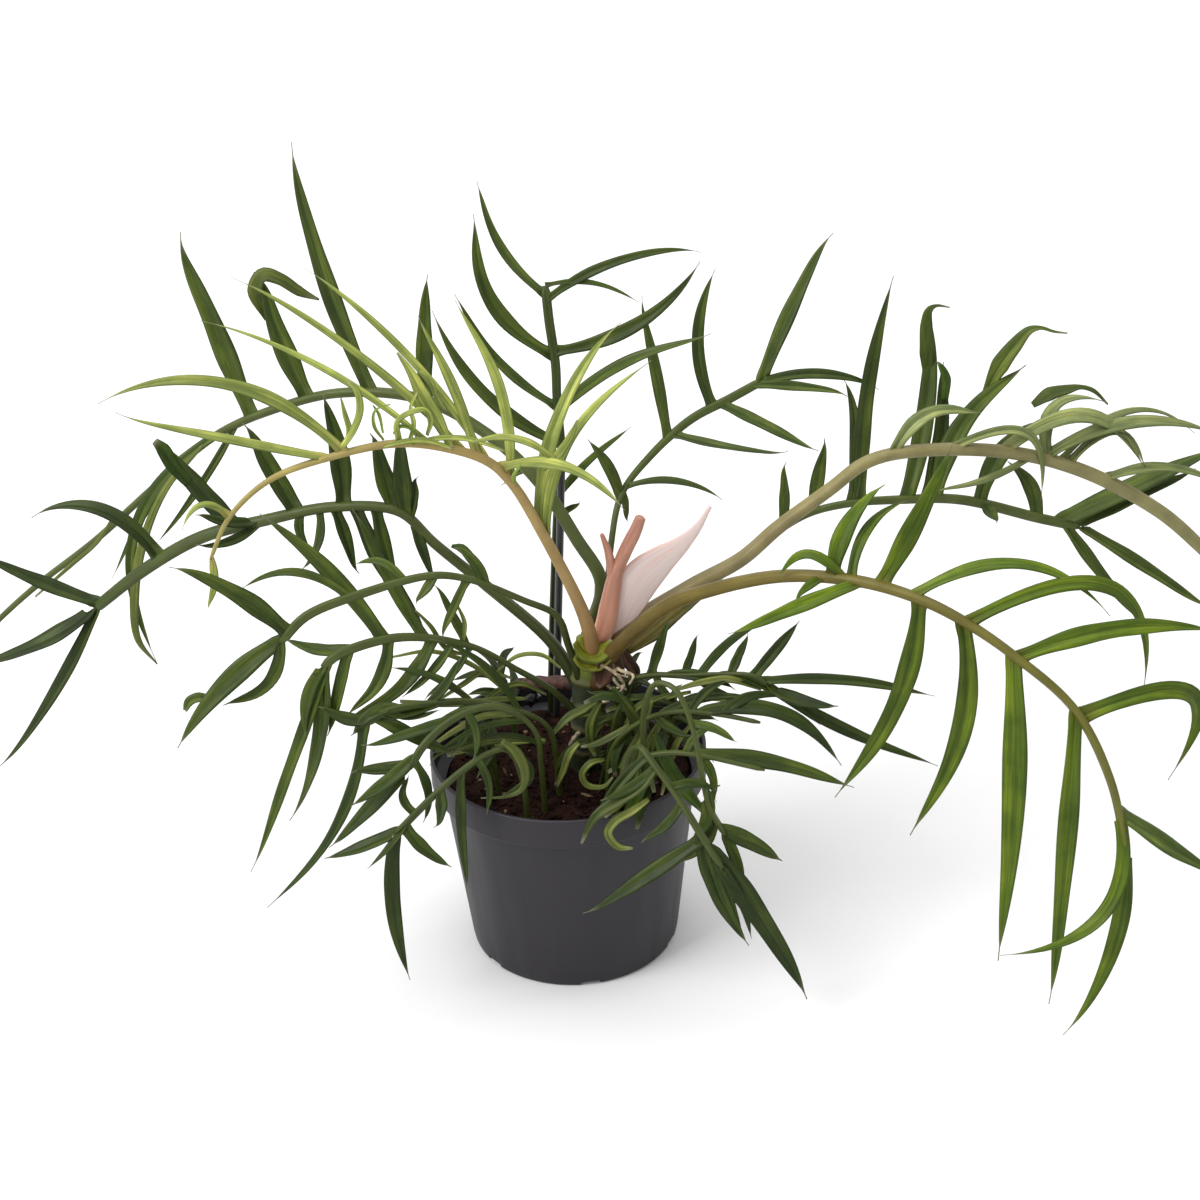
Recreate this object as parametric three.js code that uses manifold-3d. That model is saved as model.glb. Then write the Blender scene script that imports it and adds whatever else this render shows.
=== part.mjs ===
// A potted philodendron tortum: a nursery pot filled with soil, a short stem with its stake, and
// long arching fronds whose narrow leaflets fan out from every stalk.
// Millimetres, +Z up. The origin is the middle of the pot's underside and the viewer looks along +Y.
import * as THREE from "three";
import { mergeVertices } from "three/addons/utils/BufferGeometryUtils.js";
import Module from "manifold-3d";

const wasm = await Module();
wasm.setup();

// Driving dimensions
const CLEARANCE = 0.35; // between a piece and the hole or socket it stands in

const POT = {
  height: 96,
  baseRadius: 46,
  baseRound: 1.2,
  shoulderRadius: 55.3,
  lipRadius: 60,
  lipHeight: 14,
  lipRound: 1,
  lipStep: 0.4,
  wall: 1.6,
  floor: 4.5,
  sides: 32,
  drainSlots: 6,
  drainWidth: 8,
  drainHeight: 2.4,
  drainDepth: 5,
  drainTurn: 0.63, // where the first slot is, as a share of the angle between two
};

const SOIL = { level: 84, bump: 1.6, round: 2, rings: [53.2, 43, 31, 18], sides: 24 };
const SOCKET_SIDES = 6;

const STEM = {
  axis: [[7, 0, 64], [7, 0, 84], [8, 0, 100], [10, 0, 124], [11, 0, 148]],
  girth: [5.5, 6.2, 6.4, 7.2, 6],
  nodeRings: [0.36, 0.5, 0.64, 0.78, 0.9],
  ringSwell: 0.9,
  ringReach: 0.03,
  ripple: 0.3,
  sides: 8,
  steps: 13,
};

// Each aerial root curls out of the stem, by points on its middle line.
const AERIAL_ROOTS = [
  [[10, -4, 140], [14, -12, 143], [20, -15, 141], [25, -15, 134], [23, -13, 129]],
  [[10, -4, 121], [15, -12, 124], [22, -16, 127], [26, -15, 122]],
  [[7, -4, 106], [2, -10, 104], [-1, -11, 95]],
];
const AERIAL_ROOT = { girth: [1, 0.6], steps: 7, sides: 5 };

const STAKE = { foot: [-8, 44, 40], top: [2, 44, 213], radius: 1.7, sides: 10 };

const CATAPHYLL = {
  line: [
    [14.6, -4.6, 140],
    [20.4, -5.2, 150],
    [25, -5.6, 162.5],
    [32, -5.8, 176.5],
    [40, -5.8, 184.7],
    [48.8, -5, 191.6],
    [56, -4, 199],
    [61.5, -2.5, 208],
  ],
  widths: [2.8, 6.6, 11.6, 16.5, 17.8, 13.2, 7.6, 3.4, 1.2],
  thickness: 0.9,
  cup: 0.16,
  facing: new THREE.Vector3(0.1, -1, 0.2),
  steps: 9,
  socketRadius: 2.2,
};

const NEW_LEAF = {
  body: [[12.5, 0, 141], [17.6, 0.5, 153], [20.4, 1, 165], [22.8, 1, 177], [25, 1, 184]],
  prongs: [
    [[23, 1, 178], [28, 1, 190], [32, 1.5, 198], [34.5, 2.5, 204]],
    [[22, 1, 177], [20.6, 1, 188], [18, 1.5, 197]],
  ],
  bodyGirth: [2.2, 3.1, 3.5, 3.5, 2.4],
  prongGirths: [[2.4, 2.9, 2.9, 2.3], [2.3, 1.8, 0.9]],
  bodySteps: 6,
  prongSteps: 4,
  sides: 6,
};

const BLADE = {
  thickness: 0.75,
  sink: 0.45, // how far its foot reaches past the middle line of the stalk
  fullness: 1.2, // how much wider than its row says, for what its turn and twist hide
  shares: [0.9, 0.95, 1, 0.93, 0.68, 0.15], // of its width, from root to tip
  sectionEvery: 26,
  sections: [3, 5],
  facing: new THREE.Vector3(0, -0.6, 0.8), // the side that most blades turn up
  roll: 0.7, // radians, the spread of each blade's turn about its own line
  twist: 0.9, // radians, the most that a blade twists from root to tip
};
const STALK = {
  sides: 5,
  step: 18,
  socketRings: 2,
  wing: 1.3, // how much wider than thick its tip is
  wingFrom: 0.35,
  smallest: 0.08, // the finest unevenness that is kept where leaflets join it
};
const TUBE_FACING = new THREE.Vector3(0.31, -0.95, 0.11); // where each tube's rings start

// The colour and roughness of each piece that isn't a frond
const LOOKS = {
  leaf: { roughness: 0.5 },
  new_leaf: { color: 0xb0775f, roughness: 0.55 },
  cataphyll: { color: 0xe1cdc8, roughness: 0.5 },
  stem: { color: 0x2c3a1e, roughness: 0.6 },
  stake: { color: 0x232326, roughness: 0.5 },
  soil: { color: 0x2a1712, roughness: 0.95 },
  pot: { color: 0x424046, roughness: 0.5 },
};

// The fronds. A stalk is a list of points on its middle line, foot first, and girth is its radius
// at foot and tip. A leaflet is [distance of its root from the stalk's tip, reach in X, Y and Z
// from root to tip, how far its middle bows to the left of that straight line, width].
const FRONDS = [
  {
    name: "frond_chartreuse",
    colour: 0xa9ad4a,
    holder: "stem",
    girth: [2.8, 0.5],
    stalk: [[11, -4.5, 138], [12, -9, 150], [9, -12, 168], [-7, -18, 211], [-17, -20, 232],
      [-26, -22, 243], [-44, -24, 251], [-62, -26, 254], [-87, -30, 251], [-111, -34, 244],
      [-128, -38, 230], [-137, -40, 213]],
    leaflets: [
      [73, -95, 8, 21, -19, 4.4],
      [66, -78, -8, 26, 1, 3.9],
      [107, -88, 21, 47, -7, 2.6],
      [121, -89, 30, 65, -6, 2.9],
      [131, -69, 33, 71, -6, 2.9],
      [126, -21, 25, 50, -2, 3.6],
      [144, -19, 31, 65, -7, 4],
      [168, 36, 35, 72, 9, 4.9],
      [175, 44, -5, 78, 12, 4.7],
      [137, 49, -25, -8, 10, 5.1],
      [20, -18, -6, -2, -8, 2.8],
      [1, -3, -5, -21, 2, 2.8],
    ],
  },
  {
    name: "frond_left_top",
    colour: 0x3c5a3a,
    holder: "stem",
    girth: [3.1, 1.2],
    stalk: [[8, 4, 138], [12, 8, 150], [17, 10, 170], [7, 20, 186], [-7, 32, 206], [-28, 46, 223],
      [-57, 58, 236], [-93, 68, 236], [-123, 76, 226], [-151, 84, 211], [-185, 90, 182],
      [-214, 94, 156], [-243, 96, 134], [-264, 97, 116], [-277, 97, 103]],
    leaflets: [
      [188, -27, 31, 75, 1, 7.6],
      [217, -20, 18, 52, 1, 7.6],
      [247, -29, 43, 98, 4, 6.6],
      [272, 3, 21, 49, 1, 6],
      [179, -40, -14, -51, 2, 3],
      [170, -38, -22, -104, -25, 5],
      [156, -45, -10, -59, -4, 3.6],
    ],
  },
  {
    name: "frond_left_middle",
    colour: 0x46663a,
    holder: "stem",
    girth: [2.8, 1.2],
    stalk: [[6, 2, 124], [-5, 4, 145], [-32, 6, 173], [-52, 10, 191], [-66, 13, 205], [-93, 18, 206],
      [-124, 24, 198], [-153, 30, 188], [-179, 34, 172], [-205, 38, 151]],
    leaflets: [
      [4, -52, 8, 22, 1, 5.9],
      [0, -60, -4, -23, 5, 8.4],
      [2, -54, -12, -75, 4, 6.8],
      [42, -56, 14, 15, -14, 6.4],
      [82, -30, 14, 33, 1, 7],
      [111, -21, 15, 35, 0, 7],
      [132, -6, 15, 45, -2, 7.2],
      [154, -9, 14, 29, 0, 6.8],
      [159, -1, 6, 36, 0, 6.6],
      [128, 9, -10, -27, 0, 4.6],
      [137, 27, -16, -54, -2, 6],
      [146, 8, -10, -36, -1, 5],
      [163, 8, -10, -25, 0, 3.8],
      [92, -23, -14, 11, 2, 4.4],
      [161, 5, 4, 17, 0, 4],
      [94, -27, -10, -5, 4, 3.6],
      [113, 6, -8, -15, -4, 3.4],
      [121, -9, -12, -23, 4, 3.4],
    ],
  },
  {
    name: "frond_left_low",
    colour: 0x3f5e3c,
    holder: "stem",
    girth: [1.7, 1],
    stalk: [[6.5, -3, 130], [2, -6, 150], [-2, -9, 165], [-15, -15, 176], [-38, -22, 191],
      [-52, -26, 195], [-80, -32, 191], [-102, -38, 185], [-113, -41, 175]],
    leaflets: [
      [5, -42, -10, 37, -4, 6.6],
      [2, -45, -16, -40, -4, 7.2],
      [0, -25, -6, -25, 8, 4.6],
      [70, -8, -6, -10, 0, 3.2],
      [84, -11, -8, -24, -1, 3.3],
      [34, -44, 4, 3, -10, 3],
      [57, -20, 8, 4, -5, 2.9],
      [92, -13, 8, 13, -3, 4],
    ],
  },
  {
    name: "frond_left_lower",
    colour: 0x3c5c3a,
    holder: "stem",
    girth: [1.6, 1],
    stalk: [[6, -3, 112], [-6, -8, 129], [-19, -12, 141], [-38, -18, 157], [-66, -26, 167],
      [-90, -34, 165], [-98, -36, 160]],
    leaflets: [
      [0, -19, -8, -69, 5, 7.4],
      [4, -40, -14, -93, 0, 4.6],
      [28, -48, 21, 49, -4, 5.8],
      [13, -11, -8, -36, 0, 5],
      [30, -18, -14, -28, 5, 4.8],
      [45, -27, 22, 49, 1, 5.2],
      [15, -29, 8, 1, 3, 5.2],
      [64, -13, 8, 25, -1, 3.3],
      [2, -10, -6, -32, -4, 4.6],
      [49, -37, -16, -29, 6, 5.2],
      [58, -22, -12, -19, 2, 3.2],
      [66, -20, -12, -19, 2, 2.6],
    ],
  },
  {
    name: "frond_back",
    colour: 0x33473a,
    holder: "soil",
    girth: [1.5, 0.9],
    stalk: [[-8, 48.5, 70], [-7, 49, 107], [-1, 50, 190], [2, 51, 209], [1, 53, 236], [1, 56, 250],
      [-1, 60, 269], [-2, 64, 283]],
    leaflets: [
      [69, -52, 10, 59, 9, 4.8],
      [52, -42, 20, 45, 6, 4.6],
      [30, -31, 8, 61, 12, 5.8],
      [4, -27, 14, 46, 6, 4.4],
      [94, 33, -8, 36, 2, 3.4],
      [104, 11, -6, 11, 0, 2.8],
      [54, 65, -10, 37, 6, 5],
      [28, 62, -6, 40, -9, 5],
      [6, 65, -4, 20, 7, 3.5],
      [0, 39, -8, -6, 5, 2],
      [82, -27, 16, -13, -5, 3.5],
    ],
  },
  {
    name: "frond_back_right",
    colour: 0x36503a,
    holder: "stem",
    girth: [1.6, 0.9],
    stalk: [[12, 5, 130], [18, 9.5, 148], [20, 16, 167], [22, 24, 182], [27, 36, 198], [40, 48, 210],
      [58, 60, 221], [76, 70, 226], [90, 78, 230]],
    leaflets: [
      [85, -13, 6, 25, -2, 4.4],
      [80, 41, -10, -3, 6, 3.2],
      [82, 2, -6, -12, 0, 2.6],
      [51, -9, 25, 56, 0, 4.8],
      [48, 48, -18, -2, -2, 4.8],
      [26, 3, 24, 54, 7, 5],
      [22, 41, -18, -16, 0, 5.4],
      [0, 33, 24, 58, 2, 6],
      [2, 54, 6, -8, 6, 4.4],
      [4, 40, -12, -2, 2, 3.6],
    ],
  },
  {
    name: "frond_right_top",
    colour: 0x75824a,
    holder: "stem",
    girth: [3.5, 0.8],
    stalk: [[15, -0.5, 136], [23, 1, 149], [54, 4, 169], [76, 7, 180], [92, 10, 193], [114, 14, 208],
      [128, 18, 217], [143, 21, 220], [187, 30, 215], [223, 36, 202], [260, 42, 178], [280, 44, 159],
      [298, 46, 139]],
    leaflets: [
      [186, 37, 7, 14, 10, 5.1],
      [161, 41, 6, -28, 22, 3.6],
      [137, 63, 8, -15, 21, 5.6],
      [118, 74, 4, 6, 11, 5.6],
      [110, 62, 20, 2, 17, 3.4],
      [87, 51, -4, -3, 7, 5],
      [123, -44, -14, -9, 3, 3.2],
      [26, 29, 4, -7, 3, 5],
      [7, 4, -8, -36, 4, 5],
      [116, 25, 10, 21, 15, 5],
      [106, 34, 2, -5, 17, 3.4],
    ],
  },
  {
    name: "frond_right_back",
    colour: 0x38523c,
    holder: "stem",
    girth: [2, 1.1],
    stalk: [[13, 4.5, 122], [28, 13, 141], [55, 30, 151], [78, 42, 160], [96, 52, 170], [110, 58, 175],
      [128, 64, 176], [152, 72, 173], [180, 80, 168], [219, 90, 152], [238, 94, 145]],
    leaflets: [
      [152, 2, 10, 27, 0, 4],
      [137, 6, 12, 30, 0, 5.3],
      [91, 12, 33, 77, -4, 7.4],
      [81, 10, 30, 53, -3, 6.2],
      [77, 59, 29, 66, 14, 7.6],
      [54, 59, 20, 38, 19, 7],
      [11, 76, 10, 30, 1, 9],
      [0, 65, -4, -44, 0, 6.3],
      [8, 35, -16, -44, -1, 5.7],
      [51, 3, -14, -3, 0, 5],
      [114, 16, 30, 94, 4, 6.8],
      [118, -2, 26, 49, -4, 5.4],
      [23, -12, 14, 22, -4, 6],
      [2, 55, 8, 23, 1, 6],
    ],
  },
  {
    name: "frond_right_front",
    colour: 0x5f8a2a,
    holder: "stem",
    girth: [3.4, 0.5],
    stalk: [[14, -4.5, 128], [19, -9, 144], [24, -13, 153], [43, -26, 177], [56, -36, 188],
      [87, -56, 205], [116, -74, 211], [137, -86, 209], [153, -94, 203], [171, -102, 192],
      [193, -110, 173], [208, -114, 143], [216, -116, 111]],
    leaflets: [
      [155, 29, 24, 47, -1, 6.6],
      [175, 21, 14, 32, 5, 6],
      [167, 24, 24, 21, 7, 3.8],
      [163, -52, -14, -13, 0, 5],
      [178, -12, -8, -7, -2, 3.1],
      [170, -25, 10, -4, -11, 3.4],
      [139, -32, -14, -79, 8, 6.8],
      [121, -18, -10, -90, 10, 7],
      [98, 0, -8, -137, 3, 7.6],
      [66, -1, 2, -141, 1, 6.7],
      [20, -45, -16, -56, 24, 5.2],
      [1, -19, -3, -88, 8, 5.5],
      [142, 75, -3, -10, 18, 4.6],
      [119, 74, 18, -44, 35, 5],
      [96, 79, 16, -1, 7, 6],
      [63, 41, 18, -42, 33, 6],
      [18, 45, 14, -43, 0, 7.6],
    ],
  },
  {
    name: "frond_right_middle",
    colour: 0x4a6a40,
    holder: "stem",
    girth: [1.5, 0.9],
    stalk: [[12, -4, 110], [22, -10, 131], [36, -13, 137], [49, -16, 138], [65, -20, 140],
      [79, -24, 141], [85, -25, 136]],
    leaflets: [
      [52, 10, 10, 21, 1, 3.8],
      [38, 7, 10, 14, 0, 3],
      [31, 29, 16, 17, 3, 3.8],
      [18, 8, 10, 14, 0, 3.4],
      [8, 20, 12, 19, 0, 4.2],
      [4, 72, -2, -9, 4, 4.4],
      [0, 28, -12, -3, -2, 5],
      [2, 72, -10, -37, -3, 4.4],
      [15, 34, -10, -20, 2, 2.9],
      [35, 30, -8, -10, -3, 2.9],
      [50, 12, -8, -10, -3, 2.9],
      [45, 28, -8, -4, 3, 4],
      [24, 22, -6, -5, 2, 3.6],
    ],
  },
  {
    name: "frond_pot_left_high",
    colour: 0x4a6a40,
    holder: "soil",
    girth: [1.4, 0.9],
    stalk: [[-4, -19, 70], [-5, -21, 106], [-8, -26, 122], [-19, -30, 132], [-39, -34, 140],
      [-55, -38, 142], [-71, -42, 142], [-82, -46, 138]],
    leaflets: [
      [0, -47, -8, -84, 10, 5.4],
      [3, -21, 4, 5, 2, 4.6],
      [6, 31, -2, -20, 0, 5],
      [10, 23, 2, -1, -3, 2.4],
      [29, 14, 8, 17, -1, 4],
      [44, -9, -8, -22, 5, 2.9],
      [67, -34, 1, 35, -6, 3],
      [46, -33, 6, 14, -4, 2.8],
      [16, -20, -6, -9, -4, 5],
      [33, -28, -8, -3, 1, 4.4],
    ],
  },
  {
    name: "frond_pot_left_arch",
    colour: 0x587a44,
    holder: "soil",
    girth: [1.4, 0.9],
    stalk: [[-10, -31, 70], [-11, -33, 108], [-12, -36, 124], [-18, -38, 134], [-30, -42, 142],
      [-42, -46, 141], [-52, -50, 136], [-59, -54, 130], [-64, -56, 122]],
    leaflets: [
      [2, -25, 0, -3, 0, 5],
      [0, -35, -6, -33, 0, 5.4],
      [4, 2, -2, -29, 4, 3.3],
      [34, 2, -10, -17, 3, 2.9],
      [77, -36, -8, 2, -6, 2.4],
      [63, -37, -7, -9, -4, 2.4],
      [44, -30, 6, -20, -4, 3.4],
      [29, -39, -4, -9, 1, 4],
      [6, -27, -12, -15, 1, 5],
    ],
  },
  {
    name: "frond_pot_left_low",
    colour: 0x466a3e,
    holder: "soil",
    girth: [1.4, 0.9],
    stalk: [[-17, -41, 70], [-19, -43, 108], [-24, -47, 124], [-33, -52, 125], [-43, -56, 120],
      [-55, -60, 111], [-71, -64, 96]],
    leaflets: [
      [2, -32, 2, -14, 1, 5.2],
      [5, 19, -8, -16, -2, 4.6],
      [0, 1, -4, -72, -4, 5.8],
      [12, -2, 6, 15, 4, 2.9],
      [7, -17, -8, -17, 1, 2.8],
      [38, -1, -6, -56, -1, 3.8],
      [46, 3, -8, -22, 3, 2.9],
      [60, -4, -5, -20, 11, 4],
      [26, -3, -8, -13, 2, 4],
    ],
  },
  {
    name: "frond_rim_right_high",
    colour: 0x46683e,
    holder: "soil",
    girth: [1.4, 1],
    stalk: [[17, -24, 70], [18, -27, 106], [23, -30, 118], [35, -34, 129], [47, -38, 134],
      [64, -42, 134], [80, -46, 132]],
    leaflets: [
      [25, 58, -4, -26, 13, 6],
      [16, 25, 8, 2, 5, 3.7],
      [29, 17, 8, 9, 3, 3.3],
      [45, 15, -8, -5, -2, 3.3],
      [43, 42, 4, 2, 5, 3.4],
    ],
  },
  {
    name: "frond_rim_right_low",
    colour: 0x3e603a,
    holder: "soil",
    girth: [1.4, 1],
    stalk: [[25, -38, 70], [27, -43, 106], [32, -46, 117], [43, -49, 121], [55, -52, 121],
      [71, -55, 118], [81, -57, 116]],
    leaflets: [
      [31, 67, -2, -18, 4, 6],
      [27, 6, -8, -18, 2, 3.3],
      [33, 13, 6, 8, 3, 2.9],
    ],
  },
  {
    name: "frond_drop_right",
    colour: 0x3e603a,
    holder: "soil",
    girth: [1.4, 1],
    stalk: [[32, -28, 70], [32, -34, 110], [33, -40, 138], [38, -45, 152], [45, -50, 152],
      [51, -56, 140], [55, -61, 118], [58, -64, 103], [64, -66, 91]],
    leaflets: [
      [3, 25, 0, -17, 1, 6],
      [9, -14, -6, -18, 3, 4.6],
      [1, 8, -4, -27, 1, 4.2],
      [51, 18, -4, -7, 2, 3.2],
      [22, -7, -6, -23, 4, 5],
    ],
  },
  {
    name: "frond_drop_front",
    colour: 0x356136,
    holder: "soil",
    girth: [1.7, 1],
    stalk: [[20, -46, 70], [22, -48, 100], [25, -53, 122], [30, -58, 130], [36, -65, 125],
      [45, -71, 113], [53, -75, 99], [62, -79, 84]],
    leaflets: [
      [15, -50, -2, -34, 1, 5.8],
      [10, 40, -4, -76, 2, 8],
      [17, 19, -8, -51, -3, 6.4],
      [0, 12, 2, -38, 2, 3.4],
      [32, -17, -5, -15, 2, 3.7],
      [40, 19, 4, -5, 3, 3.3],
      [8, 12, -4, -38, -1, 5],
      [50, -23, -6, -11, 2, 4],
      [56, -25, -8, -30, -2, 4],
    ],
  },
  {
    name: "tuft_middle",
    colour: 0x55783c,
    holder: "soil",
    girth: [1.5, 0.9],
    stalk: [[13, -18, 70], [14, -18, 86], [17, -18, 100], [20, -20, 112], [22, -22, 124],
      [26, -22, 132]],
    leaflets: [
      [16, -22, 0, 2, -6, 3.2],
      [23, -25, -3, -21, -9, 2.8],
      [7, 19, 0, 4, 2, 3.4],
      [21, 16, -1, -19, 3, 4.2],
      [26, -7, -3, -23, 1, 3.2],
      [31, -12, -3, -11, -3, 2.6],
      [5, -14, 2, 7, -2, 3],
      [3, 9, 1, -19, 3, 3.6],
      [10, -13, -1, -12, -4, 3],
      [1, 23, 0, -9, 4, 3.2],
    ],
  },
];

// The young tufts in the middle: their leaflets fan out to one side of a short stalk, in degrees
// from +X, each turned from the last by the golden ratio.
const GOLDEN_RATIO = (Math.sqrt(5) - 1) / 2;
const TUFTS = [
  { name: "tuft_left", foot: [-30, -20], head: [-33, -24, 116], reach: 27, toward: 185, fan: 210, seed: 11 },
  { name: "tuft_right", foot: [40, -4], head: [46, -8, 118], reach: 26, toward: 0, fan: 220, seed: 24 },
  { name: "tuft_back_right", foot: [23, 11], head: [28, 17, 122], reach: 18, toward: 30, fan: 260, seed: 13 },
  { name: "tuft_back", foot: [-22, 16], head: [-28, 20, 120], reach: 24, toward: 175, fan: 200, seed: 15 },
];
const TUFT = {
  colour: 0x55783c,
  girth: [1.4, 0.9],
  depth: 14, // of its foot in the soil
  count: 8,
  spread: 0.6, // the share of the bare stalk that carries leaflets
  lengths: [0.75, 1.25], // of its reach
  widths: [2.6, 4],
  rise: 0.35,
  droop: 0.5,
  bow: 0.16,
};

// Helpers
const v = (p) => new THREE.Vector3(...p);

function randomSource(seed) {
  let state = seed >>> 0;
  return () => {
    state = (state + 0x6d2b79f5) >>> 0;
    let t = state;
    t = Math.imul(t ^ (t >>> 15), t | 1);
    t ^= t + Math.imul(t ^ (t >>> 7), t | 61);
    return ((t ^ (t >>> 14)) >>> 0) / 4294967296;
  };
}

function toSolid(geometry) {
  const bare = geometry.clone();
  bare.deleteAttribute("normal");
  bare.deleteAttribute("uv");
  const merged = mergeVertices(bare, 1e-3);
  return new wasm.Manifold(
    new wasm.Mesh({
      numProp: 3,
      vertProperties: merged.attributes.position.array,
      triVerts: new Uint32Array(merged.index.array),
    }),
  );
}

// The largest body only: a scrap that a cut leaves loose is dropped.
function toGeometry(solid) {
  const [body] = solid.decompose().sort((a, b) => b.volume() - a.volume());
  const mesh = body.getMesh();
  const geometry = new THREE.BufferGeometry();
  geometry.setAttribute("position", new THREE.BufferAttribute(mesh.vertProperties, 3));
  geometry.setIndex(new THREE.BufferAttribute(mesh.triVerts, 1));
  geometry.computeVertexNormals();
  return geometry;
}

function named(name, geometry, look = LOOKS[name]) {
  const mesh = new THREE.Mesh(geometry, new THREE.MeshStandardMaterial({ metalness: 0, ...look }));
  mesh.name = name;
  return mesh;
}

// A closed skin over rings of points, each ring turning right-handed about the way it travels.
// The second half of a ring is split the other way, so that a blade's two faces are split alike.
function loft(rings) {
  const sides = rings[0].length;
  const index = [];
  for (let i = 0; i + 1 < rings.length; i++) {
    for (let j = 0; j < sides; j++) {
      const a = i * sides + j;
      const b = i * sides + ((j + 1) % sides);
      const [c, d] = [b + sides, a + sides];
      if (j < sides / 2) index.push(a, b, c, a, c, d);
      else index.push(a, b, d, b, c, d);
    }
  }
  const last = (rings.length - 1) * sides;
  for (let j = 1; j + 1 < sides; j++) {
    index.push(0, j + 1, j);
    index.push(last, last + j, last + j + 1);
  }
  const geometry = new THREE.BufferGeometry();
  geometry.setFromPoints(rings.flat());
  geometry.setIndex(index);
  return geometry;
}

// A value along a list of evenly spaced ones, with t from 0 to 1.
function along(values, t) {
  const place = Math.min(Math.max(t, 0), 1) * (values.length - 1);
  const i = Math.min(Math.floor(place), values.length - 2);
  return THREE.MathUtils.lerp(values[i], values[i + 1], place - i);
}

// A tube of changing girth with a ring at each of the stations, given from 0 to 1 along the curve.
// Its frame is carried along without spinning.
function tube(curve, radiusAt, stations, sides) {
  const rings = [];
  const normal = TUBE_FACING.clone();
  for (const t of stations) {
    const tangent = curve.getTangentAt(t);
    normal.addScaledVector(tangent, -normal.dot(tangent)).normalize();
    const side = new THREE.Vector3().crossVectors(tangent, normal);
    const middle = curve.getPointAt(t);
    const ring = [];
    for (let j = 0; j < sides; j++) {
      const angle = (2 * Math.PI * j) / sides;
      const r = radiusAt(t, angle);
      ring.push(
        middle
          .clone()
          .addScaledVector(normal, r * Math.cos(angle))
          .addScaledVector(side, r * Math.sin(angle)),
      );
    }
    rings.push(ring);
  }
  return loft(rings);
}

const smoothLine = (points) => new THREE.CatmullRomCurve3(points.map(v), false, "centripetal");

const evenly = (steps) => Array.from({ length: steps + 1 }, (_, i) => i / steps);

// The hole that the foot of a stalk needs: the same line and rings, a clearance wider. The stalk
// itself starts a clearance further up.
function socket(line, radius, steps, rings) {
  const wider = (radius + CLEARANCE) / Math.cos(Math.PI / SOCKET_SIDES);
  return toSolid(tube(line, () => wider, evenly(steps).slice(0, rings + 1), SOCKET_SIDES));
}

// The pot: a turned shell with a lip, and slots through the edge of its underside.
function pot() {
  const { height, baseRadius, baseRound, shoulderRadius, wall, floor } = POT;
  const { lipRadius, lipHeight, lipRound, lipStep } = POT;
  const lipFoot = height - lipHeight;
  const profile = [
    [0, 0],
    [baseRadius - baseRound, 0],
    [baseRadius - 0.3 * baseRound, 0.3 * baseRound],
    [baseRadius, baseRound],
    [shoulderRadius, lipFoot],
    [lipRadius - lipRound, lipFoot + lipStep],
    [lipRadius - 0.3 * lipRound, lipFoot + lipStep + lipRound],
    [lipRadius, height - lipRound],
    [lipRadius - lipRound, height],
    [lipRadius - wall, height],
    [lipRadius - wall - 0.5 * lipRound, height - lipRound],
    [shoulderRadius - wall, lipFoot],
    [baseRadius - wall, floor + lipRound],
    [baseRadius - wall - lipRound, floor],
    [0, floor],
  ].map(([x, y]) => new THREE.Vector2(x, y));
  const shell = new THREE.LatheGeometry(profile, POT.sides).rotateX(Math.PI / 2);
  let solid = toSolid(shell);
  for (let i = 0; i < POT.drainSlots; i++) {
    const slot = new THREE.BoxGeometry(POT.drainDepth, POT.drainWidth, 2 * POT.drainHeight)
      .translate(baseRadius, 0, 0)
      .rotateZ((2 * Math.PI * (i + POT.drainTurn)) / POT.drainSlots);
    solid = solid.subtract(toSolid(slot));
  }
  return toGeometry(solid);
}

// How far the soil's surface stands above or below its level.
function soilBump(x, y) {
  const slow = Math.sin(0.21 * x + 0.6) * Math.cos(0.17 * y - 0.4);
  const quick = Math.sin(0.63 * x - 0.31 * y) * Math.cos(0.52 * y + 0.27 * x);
  return SOIL.bump * (0.6 * slow + 0.4 * quick);
}

// The soil: a turned block that follows the pot's inside, with a crumbled top and plain holes.
function soil(holes) {
  const { baseRadius, shoulderRadius, height, lipHeight, wall, floor } = POT;
  const climb = (SOIL.level - floor) / (height - lipHeight - floor);
  const low = baseRadius - wall - CLEARANCE;
  const high = THREE.MathUtils.lerp(baseRadius, shoulderRadius, climb) - wall - CLEARANCE;
  const profile = [
    [0, floor + CLEARANCE],
    [low - SOIL.round, floor + CLEARANCE],
    [low, floor + SOIL.round],
    [high - CLEARANCE, SOIL.level - SOIL.round],
    ...SOIL.rings.map((r) => [r, SOIL.level]),
    [0, SOIL.level],
  ].map(([x, y]) => new THREE.Vector2(x, y));
  const block = new THREE.LatheGeometry(profile, SOIL.sides).rotateX(Math.PI / 2);
  const place = block.getAttribute("position");
  for (let i = 0; i < place.count; i++) {
    if (place.getZ(i) < SOIL.level - CLEARANCE) continue;
    place.setZ(i, SOIL.level + soilBump(place.getX(i), place.getY(i)));
  }
  const solid = holes.reduce((block, hole) => block.subtract(hole), toSolid(block));
  return toGeometry(solid);
}

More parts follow.
